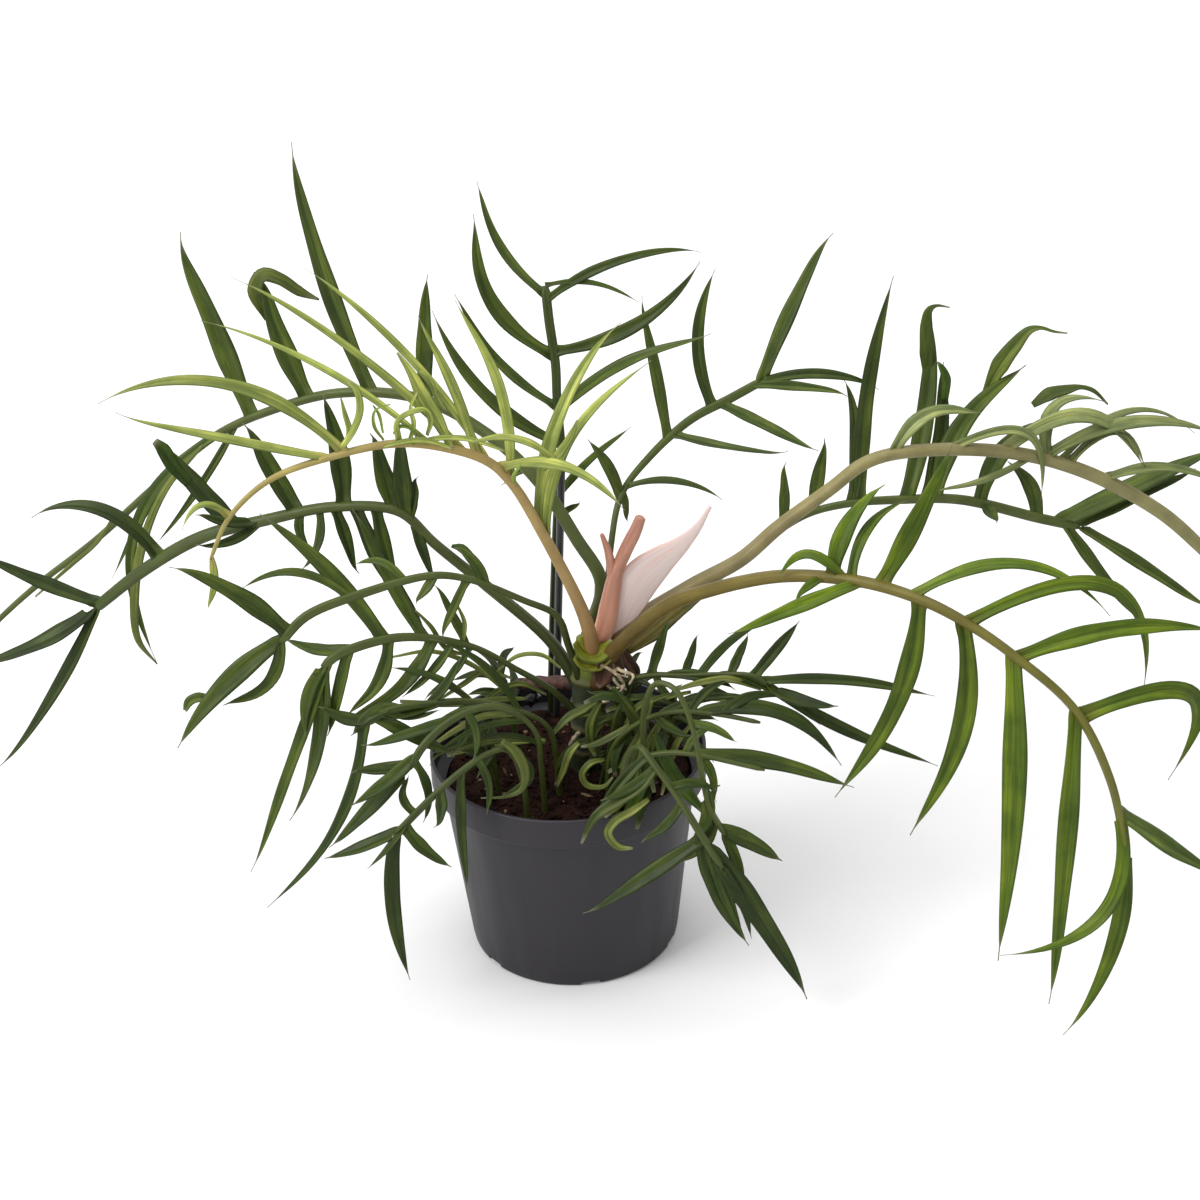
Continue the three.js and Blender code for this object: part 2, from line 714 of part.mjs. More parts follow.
// The stem with its node rings, its aerial roots, and a socket for each stalk that it carries.
function stem(sockets) {
  const line = smoothLine(STEM.axis);
  const girth = (t, angle) => {
    const near = STEM.nodeRings.map((at) => 1 - Math.abs(t - at) / STEM.ringReach);
    const ring = Math.max(0, ...near);
    return along(STEM.girth, t) + STEM.ringSwell * ring + STEM.ripple * Math.sin(3 * angle + 9 * t);
  };
  let solid = toSolid(tube(line, girth, evenly(STEM.steps), STEM.sides));
  const { girth: rootGirth, steps, sides } = AERIAL_ROOT;
  for (const points of AERIAL_ROOTS) {
    solid = solid.add(toSolid(tube(smoothLine(points), (t) => along(rootGirth, t), evenly(steps), sides)));
  }
  return sockets.reduce((body, cut) => body.subtract(cut), solid);
}

function stake() {
  const [foot, top] = [v(STAKE.foot), v(STAKE.top)];
  return tube(new THREE.LineCurve3(foot, top), () => STAKE.radius, evenly(1), STAKE.sides);
}

// The pale sheath: a cupped lance, three points across each face.
function cataphyll() {
  const line = smoothLine(CATAPHYLL.line);
  const rings = [];
  for (const t of evenly(CATAPHYLL.steps)) {
    const tangent = line.getTangentAt(t);
    const face = CATAPHYLL.facing.clone();
    face.addScaledVector(tangent, -face.dot(tangent)).normalize();
    const side = new THREE.Vector3().crossVectors(tangent, face);
    const middle = line.getPointAt(t);
    const width = along(CATAPHYLL.widths, t);
    const corners = [[-0.5, 1, 1], [0, 1, 0], [0.5, 1, 1], [0.5, -1, 1], [0, -1, 0], [-0.5, -1, 1]];
    rings.push(
      corners.map(([across, up, edge]) =>
        middle
          .clone()
          .addScaledVector(side, across * width)
          .addScaledVector(face, (up * CATAPHYLL.thickness) / 2 - edge * CATAPHYLL.cup * width * 0.5),
      ),
    );
  }
  return loft(rings);
}

// The rolled new leaf and its two prongs, grown as one.
function newLeaf() {
  const { body, prongs, bodyGirth, prongGirths, bodySteps, prongSteps, sides } = NEW_LEAF;
  let solid = toSolid(tube(smoothLine(body), (t) => along(bodyGirth, t), evenly(bodySteps), sides));
  prongs.forEach((points, i) => {
    const prong = tube(smoothLine(points), (t) => along(prongGirths[i], t), evenly(prongSteps), sides);
    solid = solid.add(toSolid(prong));
  });
  return solid;
}

// One narrow leaflet: a thin ribbon of four-cornered sections along an arched line. Its foot lies
// along the stalk.
function leaflet(stalkLine, stalkLength, [fromTip, dx, dy, dz, bow, width], random) {
  const at = Math.max(0, 1 - fromTip / stalkLength);
  const root = stalkLine.getPointAt(at);
  const stalkHeading = stalkLine.getTangentAt(at);
  const reach = new THREE.Vector3(dx, dy, dz);
  const across = new THREE.Vector3(-dz, 0, dx).normalize();
  const tip = root.clone().add(reach);
  const control = root.clone().addScaledVector(reach, 0.5).addScaledVector(across, 2 * bow);
  const line = new THREE.QuadraticBezierCurve3(root, control, tip);
  const roll = (random() - 0.5) * BLADE.roll;
  const twist = (random() - 0.5) * BLADE.twist;
  const steps = THREE.MathUtils.clamp(Math.round(reach.length() / BLADE.sectionEvery), ...BLADE.sections);
  const rings = evenly(steps).map((t) => {
    const tangent = line.getTangent(t);
    const face = BLADE.facing.clone();
    face.addScaledVector(tangent, -face.dot(tangent)).normalize();
    face.applyAxisAngle(tangent, roll + twist * t);
    const side = new THREE.Vector3().crossVectors(tangent, face);
    if (t === 0) side.addScaledVector(stalkHeading, Math.sign(side.dot(stalkHeading))).normalize();
    const half = (width * BLADE.fullness * along(BLADE.shares, t)) / 2;
    const middle = t === 0 ? root.clone().addScaledVector(tangent, -BLADE.sink) : line.getPoint(t);
    return [[-1, 1], [1, 1], [1, -1], [-1, -1]].map(([across, up]) =>
      middle
        .clone()
        .addScaledVector(side, across * half)
        .addScaledVector(face, (up * BLADE.thickness) / 2),
    );
  });
  return toSolid(loft(rings));
}

const stalkSteps = (line) => Math.ceil(line.getLength() / STALK.step);

// A frond: its stalk, which widens into wings towards the tip, with every leaflet fused to it.
function frond({ stalk, girth, leaflets }, seed) {
  const line = smoothLine(stalk);
  const length = line.getLength();
  const random = randomSource(seed);
  const stations = evenly(stalkSteps(line));
  stations[0] = CLEARANCE / length;
  const wing = (t) => STALK.wing * THREE.MathUtils.smoothstep(t, STALK.wingFrom, 1);
  const radius = (t, angle) => THREE.MathUtils.lerp(...girth, t) * (1 + wing(t) * Math.sin(angle) ** 2);
  let solid = toSolid(tube(line, radius, stations, STALK.sides));
  for (const row of leaflets) solid = solid.add(leaflet(line, length, row, random));
  return solid.asOriginal().simplify(STALK.smallest);
}

// A tuft's stalk and leaflets, in the same form as a frond's.
function tuftRows({ name, foot, head, reach, toward, fan, seed }) {
  const random = randomSource(seed);
  const [x, y, z] = head;
  const middle = [(foot[0] + x) / 2, (foot[1] + y) / 2, (SOIL.level + z) / 2];
  const leaflets = [];
  for (let i = 0; i < TUFT.count; i++) {
    const turn = THREE.MathUtils.degToRad(toward + fan * (((i * GOLDEN_RATIO) % 1) - 0.5));
    const length = reach * THREE.MathUtils.lerp(...TUFT.lengths, random());
    const lift = length * (TUFT.rise - TUFT.droop * random());
    const width = THREE.MathUtils.lerp(...TUFT.widths, random());
    const [dx, dy] = [length * Math.cos(turn), length * Math.sin(turn)];
    const fromTip = (i * (z - SOIL.level) * TUFT.spread) / TUFT.count;
    leaflets.push([fromTip, dx, dy, lift, Math.sign(dx) * TUFT.bow * length, width]);
  }
  return {
    name,
    colour: TUFT.colour,
    holder: "soil",
    girth: TUFT.girth,
    stalk: [[...foot, SOIL.level - TUFT.depth], [...foot, SOIL.level], middle, head],
    leaflets,
  };
}

// The whole plant
const FIRST_SEED = 100;
const part = new THREE.Group();
const stands = { soil: [], stem: [] };
const green = [...FRONDS, ...TUFTS.map(tuftRows)];

green.forEach((row, i) => {
  const line = smoothLine(row.stalk);
  part.add(named(row.name, toGeometry(frond(row, FIRST_SEED + i)), { color: row.colour, ...LOOKS.leaf }));
  stands[row.holder].push(socket(line, row.girth[0], stalkSteps(line), STALK.socketRings));
});

part.add(named("new_leaf", toGeometry(newLeaf())));
part.add(named("cataphyll", cataphyll()));
part.add(named("stake", stake()));

const leafFoot = smoothLine(NEW_LEAF.body);
stands.stem.push(socket(leafFoot, NEW_LEAF.bodyGirth[1], NEW_LEAF.bodySteps, 2));
stands.stem.push(socket(smoothLine(CATAPHYLL.line), CATAPHYLL.socketRadius, CATAPHYLL.steps, 1));
part.add(named("stem", toGeometry(stem(stands.stem))));

const stakeHole = new THREE.LineCurve3(v(STAKE.foot).setZ(STAKE.foot[2] - CLEARANCE), v(STAKE.top));
stands.soil.push(socket(stakeHole, STAKE.radius, 3, 1));
const stemHole = smoothLine(STEM.axis.slice(0, 3));
stands.soil.push(socket(stemHole, STEM.girth[2] + STEM.ringSwell, 1, 1));
part.add(named("soil", soil(stands.soil)));
part.add(named("pot", pot()));

export default part;
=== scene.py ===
"""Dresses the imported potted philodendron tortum: grooved leaflets on long arching stalks, a short
staked stem with its newest leaf, crumbled soil and a moulded nursery pot, in metres."""

import math

import bpy
import numpy as np
from bpy.props import FloatProperty, FloatVectorProperty, IntProperty, PointerProperty
from mathutils import Matrix, Vector, noise


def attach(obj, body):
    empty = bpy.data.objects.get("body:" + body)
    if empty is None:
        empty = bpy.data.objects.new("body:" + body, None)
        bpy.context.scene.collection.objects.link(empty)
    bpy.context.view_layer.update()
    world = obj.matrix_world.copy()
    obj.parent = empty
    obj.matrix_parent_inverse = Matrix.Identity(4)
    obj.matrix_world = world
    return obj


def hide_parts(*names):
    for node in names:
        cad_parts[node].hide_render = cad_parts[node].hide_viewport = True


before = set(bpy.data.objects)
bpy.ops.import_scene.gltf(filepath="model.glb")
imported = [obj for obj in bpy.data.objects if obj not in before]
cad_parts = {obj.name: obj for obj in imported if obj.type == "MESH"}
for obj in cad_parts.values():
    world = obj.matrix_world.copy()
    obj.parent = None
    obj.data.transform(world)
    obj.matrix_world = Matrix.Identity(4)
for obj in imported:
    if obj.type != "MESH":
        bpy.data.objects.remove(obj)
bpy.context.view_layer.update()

bl_info = {
    "name": "Potted Philodendron Tortum",
    "version": (1, 0, 0),
    "blender": (4, 5, 0),
    "location": "View3D > Sidebar > Plant",
    "description": "Builds a potted philodendron tortum, piece by piece, round its packed model",
    "category": "Add Mesh",
}

MM = 0.001
TURN = 2 * math.pi  # one turn, in radians
CLEARANCE = 0.35  # millimetres between a piece and the bottom of what it stands in
HEADING_STEP = 0.6
BODY = "root"

# The camera, in millimetres and degrees: it looks down at the plant from the front
CAMERA_PLACE = (16.2, -843.7, 626.7)
CAMERA_LOOKS_DOWN = 28.6
CAMERA_ROLL = -2.07
CAMERA_LENS = 68.7
SENSOR = 36.0

# The fronds. A stalk is a list of points on its middle line in millimetres, foot first, and girth
# is its radius at foot and tip. A leaflet is (distance of its root from the stalk's tip, reach in
# X, Y and Z from root to tip, how far its middle bows to the left of that line, width), and after
# that, in two of them, how far its tip hooks to the left, all in millimetres.
FRONDS = [
    ("frond_chartreuse", "chartreuse", "peach", (3.2, 0.8),
     [(11, -4.5, 138), (12, -9, 150), (9, -12, 168), (-7, -18, 211), (-17, -20, 232), (-26, -22, 243),
      (-44, -24, 251), (-62, -26, 254), (-87, -30, 251), (-111, -34, 244), (-128, -38, 230),
      (-137, -40, 213)],
     [(73, -95, 8, 21, -19, 4.4), (66, -78, -8, 26, 1, 3.9), (107, -88, 21, 47, -7, 2.6),
      (121, -89, 30, 65, -6, 2.9), (131, -69, 33, 71, -6, 2.9), (126, -21, 25, 50, -2, 3.6),
      (144, -19, 31, 65, -7, 4), (168, 36, 35, 72, 9, 4.9), (175, 44, -5, 78, 12, 4.7),
      (137, 49, -25, -8, 10, 5.1), (20, -18, -6, -2, -8, 2.8), (1, -3, -5, -21, 2, 2.8)]),
    ("frond_left_top", "dark", "green", (3.1, 1.2),
     [(8, 4, 138), (12, 8, 150), (17, 10, 170), (7, 20, 186), (-7, 32, 206), (-28, 46, 223),
      (-57, 58, 236), (-93, 68, 236), (-123, 76, 226), (-151, 84, 211), (-185, 90, 182),
      (-214, 94, 156), (-243, 96, 134), (-264, 97, 116), (-277, 97, 103)],
     [(188, -27, 31, 75, 1, 7.6, 2), (217, -20, 18, 52, 1, 7.6, -1),
      (247, -29, 43, 98, 4, 6.6), (272, 3, 21, 49, 1, 6), (179, -40, -14, -51, 2, 3),
      (170, -38, -22, -104, -25, 5), (156, -45, -10, -59, -4, 3.6)]),
    ("frond_left_middle", "mid", "green", (2.8, 1.2),
     [(6, 2, 124), (-5, 4, 145), (-32, 6, 173), (-52, 10, 191), (-66, 13, 205), (-93, 18, 206),
      (-124, 24, 198), (-153, 30, 188), (-179, 34, 172), (-205, 38, 151)],
     [(4, -52, 8, 22, 1, 5.9), (0, -60, -4, -23, 5, 8.4), (2, -54, -12, -75, 4, 6.8),
      (42, -56, 14, 15, -14, 6.4), (82, -30, 14, 33, 1, 7), (111, -21, 15, 35, 0, 7),
      (132, -6, 15, 45, -2, 7.2), (154, -9, 14, 29, 0, 6.8), (159, -1, 6, 36, 0, 6.6),
      (128, 9, -10, -27, 0, 4.6), (137, 27, -16, -54, -2, 6), (146, 8, -10, -36, -1, 5),
      (163, 8, -10, -25, 0, 3.8), (92, -23, -14, 11, 2, 4.4), (161, 5, 4, 17, 0, 4),
      (94, -27, -10, -5, 4, 3.6), (113, 6, -8, -15, -4, 3.4), (121, -9, -12, -23, 4, 3.4)]),
    ("frond_left_low", "dark", "green", (1.7, 1),
     [(6.5, -3, 130), (2, -6, 150), (-2, -9, 165), (-15, -15, 176), (-38, -22, 191), (-52, -26, 195),
      (-80, -32, 191), (-102, -38, 185), (-113, -41, 175)],
     [(5, -42, -10, 37, -4, 6.6), (2, -45, -16, -40, -4, 7.2), (0, -25, -6, -25, 8, 4.6),
      (70, -8, -6, -10, 0, 3.2), (84, -11, -8, -24, -1, 3.3), (34, -44, 4, 3, -10, 3),
      (57, -20, 8, 4, -5, 2.9), (92, -13, 8, 13, -3, 4)]),
    ("frond_left_lower", "dark", "green", (1.6, 1),
     [(6, -3, 112), (-6, -8, 129), (-19, -12, 141), (-38, -18, 157), (-66, -26, 167), (-90, -34, 165),
      (-98, -36, 160)],
     [(0, -19, -8, -69, 5, 7.4), (4, -40, -14, -93, 0, 4.6), (28, -48, 21, 49, -4, 5.8),
      (13, -11, -8, -36, 0, 5), (30, -18, -14, -28, 5, 4.8), (45, -27, 22, 49, 1, 5.2),
      (15, -29, 8, 1, 3, 5.2), (64, -13, 8, 25, -1, 3.3), (2, -10, -6, -32, -4, 4.6),
      (49, -37, -16, -29, 6, 5.2), (58, -22, -12, -19, 2, 3.2), (66, -20, -12, -19, 2, 2.6)]),
    ("frond_back", "dark", "dark", (1.5, 0.9),
     [(-8, 48.5, 70), (-7, 49, 107), (-1, 50, 190), (2, 51, 209), (1, 53, 236), (1, 56, 250),
      (-1, 60, 269), (-2, 64, 283)],
     [(69, -52, 10, 59, 9, 4.8), (52, -42, 20, 45, 6, 4.6), (30, -31, 8, 61, 12, 5.8),
      (4, -27, 14, 46, 6, 4.4), (94, 33, -8, 36, 2, 3.4), (104, 11, -6, 11, 0, 2.8),
      (54, 65, -10, 37, 6, 5), (28, 62, -6, 40, -9, 5), (6, 65, -4, 20, 7, 3.5), (0, 39, -8, -6, 5, 2),
      (82, -27, 16, -13, -5, 3.5)]),
    ("frond_back_right", "dark", "dark", (1.6, 0.9),
     [(12, 5, 130), (18, 9.5, 148), (20, 16, 167), (22, 24, 182), (27, 36, 198), (40, 48, 210),
      (58, 60, 221), (76, 70, 226), (90, 78, 230)],
     [(85, -13, 6, 25, -2, 4.4), (80, 41, -10, -3, 6, 3.2), (82, 2, -6, -12, 0, 2.6),
      (51, -9, 25, 56, 0, 4.8), (48, 48, -18, -2, -2, 4.8), (26, 3, 24, 54, 7, 5),
      (22, 41, -18, -16, 0, 5.4), (0, 33, 24, 58, 2, 6), (2, 54, 6, -8, 6, 4.4),
      (4, 40, -12, -2, 2, 3.6)]),
    ("frond_right_top", "olive", "khaki", (3.9, 1.2),
     [(15, -0.5, 136), (23, 1, 149), (54, 4, 169), (76, 7, 180), (92, 10, 193), (114, 14, 208),
      (128, 18, 217), (143, 21, 220), (187, 30, 215), (223, 36, 202), (260, 42, 178), (280, 44, 159),
      (298, 46, 139)],
     [(186, 37, 7, 14, 10, 5.1), (161, 41, 6, -28, 22, 3.6), (137, 63, 8, -15, 21, 5.6),
      (118, 74, 4, 6, 11, 5.6), (110, 62, 20, 2, 17, 3.4), (87, 51, -4, -3, 7, 5),
      (123, -44, -14, -9, 3, 3.2), (26, 29, 4, -7, 3, 5), (7, 4, -8, -36, 4, 5),
      (116, 25, 10, 21, 15, 5), (106, 34, 2, -5, 17, 3.4)]),
    ("frond_right_back", "dark", "green", (2, 1.1),
     [(13, 4.5, 122), (28, 13, 141), (55, 30, 151), (78, 42, 160), (96, 52, 170), (110, 58, 175),
      (128, 64, 176), (152, 72, 173), (180, 80, 168), (219, 90, 152), (238, 94, 145)],
     [(152, 2, 10, 27, 0, 4), (137, 6, 12, 30, 0, 5.3), (91, 12, 33, 77, -4, 7.4),
      (81, 10, 30, 53, -3, 6.2), (77, 42, 23, 53, 9, 8), (54, 42, 15, 32, 12, 7),
      (11, 76, 10, 30, 1, 9), (0, 65, -4, -44, 0, 6.3), (8, 35, -16, -44, -1, 5.7),
      (51, 3, -14, -3, 0, 5), (114, 16, 30, 94, 4, 6.8), (118, -2, 26, 49, -4, 5.4),
      (23, -12, 14, 22, -4, 6), (2, 55, 8, 23, 1, 6)]),
    ("frond_right_front", "bright", "brown", (3.8, 0.9),
     [(14, -4.5, 128), (19, -9, 144), (24, -13, 153), (43, -26, 177), (56, -36, 188), (87, -56, 205),
      (116, -74, 211), (137, -86, 209), (153, -94, 203), (171, -102, 192), (193, -110, 173),
      (208, -114, 143), (216, -116, 111)],
     [(155, 29, 24, 47, -1, 6.6), (175, 21, 14, 32, 5, 6), (167, 24, 24, 21, 7, 3.8),
      (163, -52, -14, -13, 0, 5), (178, -12, -8, -7, -2, 3.1), (170, -25, 10, -4, -11, 3.4),
      (139, -32, -14, -79, 8, 6.8), (121, -18, -10, -90, 10, 7), (98, 0, -8, -137, 3, 7.6),
      (66, -1, 2, -141, 1, 6.7), (20, -45, -16, -56, 24, 5.2), (1, -19, -3, -88, 8, 5.5),
      (142, 75, -3, -10, 18, 4.6), (119, 74, 18, -44, 35, 5), (96, 79, 16, -1, 7, 6),
      (63, 41, 18, -42, 33, 6), (18, 45, 14, -43, 0, 7.6)]),
    ("frond_right_middle", "mid", "green", (1.5, 0.9),
     [(12, -4, 110), (22, -10, 131), (36, -13, 137), (49, -16, 138), (65, -20, 140), (79, -24, 141),
      (85, -25, 136)],
     [(52, 10, 10, 21, 1, 3.8), (38, 7, 10, 14, 0, 3), (31, 29, 16, 17, 3, 3.8),
      (18, 8, 10, 14, 0, 3.4), (8, 20, 12, 19, 0, 4.2), (4, 72, -2, -9, 4, 4.4),
      (0, 28, -12, -3, -2, 5), (2, 72, -10, -37, -3, 4.4), (15, 34, -10, -20, 2, 2.9),
      (35, 30, -8, -10, -3, 2.9), (50, 12, -8, -10, -3, 2.9), (45, 28, -8, -4, 3, 4),
      (24, 22, -6, -5, 2, 3.6)]),
    ("frond_pot_left_high", "mid", "green", (1.4, 0.9),
     [(-4, -19, 70), (-5, -21, 106), (-8, -26, 122), (-19, -30, 132), (-39, -34, 140), (-55, -38, 142),
      (-71, -42, 142), (-82, -46, 138)],
     [(0, -47, -8, -84, 10, 5.4), (3, -21, 4, 5, 2, 4.6), (6, 31, -2, -20, 0, 5),
      (10, 23, 2, -1, -3, 2.4), (29, 14, 8, 17, -1, 4), (44, -9, -8, -22, 5, 2.9),
      (67, -34, 1, 35, -6, 3), (46, -33, 6, 14, -4, 2.8), (16, -20, -6, -9, -4, 5),
      (33, -28, -8, -3, 1, 4.4)]),
    ("frond_pot_left_arch", "mid", "green", (1.4, 0.9),
     [(-10, -31, 70), (-11, -33, 108), (-12, -36, 124), (-18, -38, 134), (-30, -42, 142),
      (-42, -46, 141), (-52, -50, 136), (-59, -54, 130), (-64, -56, 122)],
     [(2, -25, 0, -3, 0, 5), (0, -35, -6, -33, 0, 5.4), (4, 2, -2, -29, 4, 3.3),
      (34, 2, -10, -17, 3, 2.9), (77, -36, -8, 2, -6, 2.4), (63, -37, -7, -9, -4, 2.4),
      (44, -30, 6, -20, -4, 3.4), (29, -39, -4, -9, 1, 4), (6, -27, -12, -15, 1, 5)]),
    ("frond_pot_left_low", "mid", "green", (1.4, 0.9),
     [(-17, -41, 70), (-19, -43, 108), (-24, -47, 124), (-33, -52, 125), (-43, -56, 120),
      (-55, -60, 111), (-71, -64, 96)],
     [(2, -32, 2, -14, 1, 5.2), (5, 19, -8, -16, -2, 4.6), (0, 1, -4, -72, -4, 5.8),
      (12, -2, 6, 15, 4, 2.9), (7, -17, -8, -17, 1, 2.8), (38, -1, -6, -56, -1, 3.8),
      (46, 3, -8, -22, 3, 2.9), (60, -4, -5, -20, 11, 4), (26, -3, -8, -13, 2, 4)]),
    ("frond_rim_right_high", "mid", "green", (1.4, 1),
     [(17, -24, 70), (18, -27, 106), (23, -30, 118), (35, -34, 129), (47, -38, 134), (64, -42, 134),
      (80, -46, 132)],
     [(25, 58, -4, -26, 13, 6), (16, 25, 8, 2, 5, 3.7), (29, 17, 8, 9, 3, 3.3),
      (45, 15, -8, -5, -2, 3.3), (43, 42, 4, 2, 5, 3.4)]),
    ("frond_rim_right_low", "dark", "green", (1.4, 1),
     [(25, -38, 70), (27, -43, 106), (32, -46, 117), (43, -49, 121), (55, -52, 121), (71, -55, 118),
      (81, -57, 116)],
     [(31, 67, -2, -18, 4, 6), (27, 6, -8, -18, 2, 3.3), (33, 13, 6, 8, 3, 2.9)]),
    ("frond_drop_right", "dark", "green", (1.4, 1),
     [(32, -28, 70), (32, -34, 110), (33, -40, 138), (38, -45, 152), (45, -50, 152), (51, -56, 140),
      (55, -61, 118), (58, -64, 103), (64, -66, 91)],
     [(3, 25, 0, -17, 1, 6), (9, -14, -6, -18, 3, 4.6), (1, 8, -4, -27, 1, 4.2),
      (51, 18, -4, -7, 2, 3.2), (22, -7, -6, -23, 4, 5)]),
    ("frond_drop_front", "mid", "green", (1.7, 1),
     [(20, -46, 70), (22, -48, 100), (25, -53, 122), (30, -58, 130), (36, -65, 125), (45, -71, 113),
      (53, -75, 99), (62, -79, 84)],
     [(15, -50, -2, -34, 1, 5.8), (10, 40, -4, -76, 2, 8), (17, 19, -8, -51, -3, 6.4),
      (0, 12, 2, -38, 2, 3.4), (32, -17, -5, -15, 2, 3.7), (40, 19, 4, -5, 3, 3.3),
      (8, 12, -4, -38, -1, 5), (50, -23, -6, -11, 2, 4), (56, -25, -8, -30, -2, 4)]),
    ("tuft_middle", "mid", "green", (1.5, 0.9),
     [(13, -18, 70), (14, -18, 86), (17, -18, 100), (20, -20, 112), (22, -22, 124), (26, -22, 132)],
     [(16, -22, 0, 2, -6, 3.2), (23, -25, -3, -21, -9, 2.8), (7, 19, 0, 4, 2, 3.4),
      (21, 16, -1, -19, 3, 4.2), (26, -7, -3, -23, 1, 3.2), (31, -12, -3, -11, -3, 2.6),
      (5, -14, 2, 7, -2, 3), (3, 9, 1, -19, 3, 3.6), (10, -13, -1, -12, -4, 3),
      (1, 23, 0, -9, 4, 3.2)]),
]

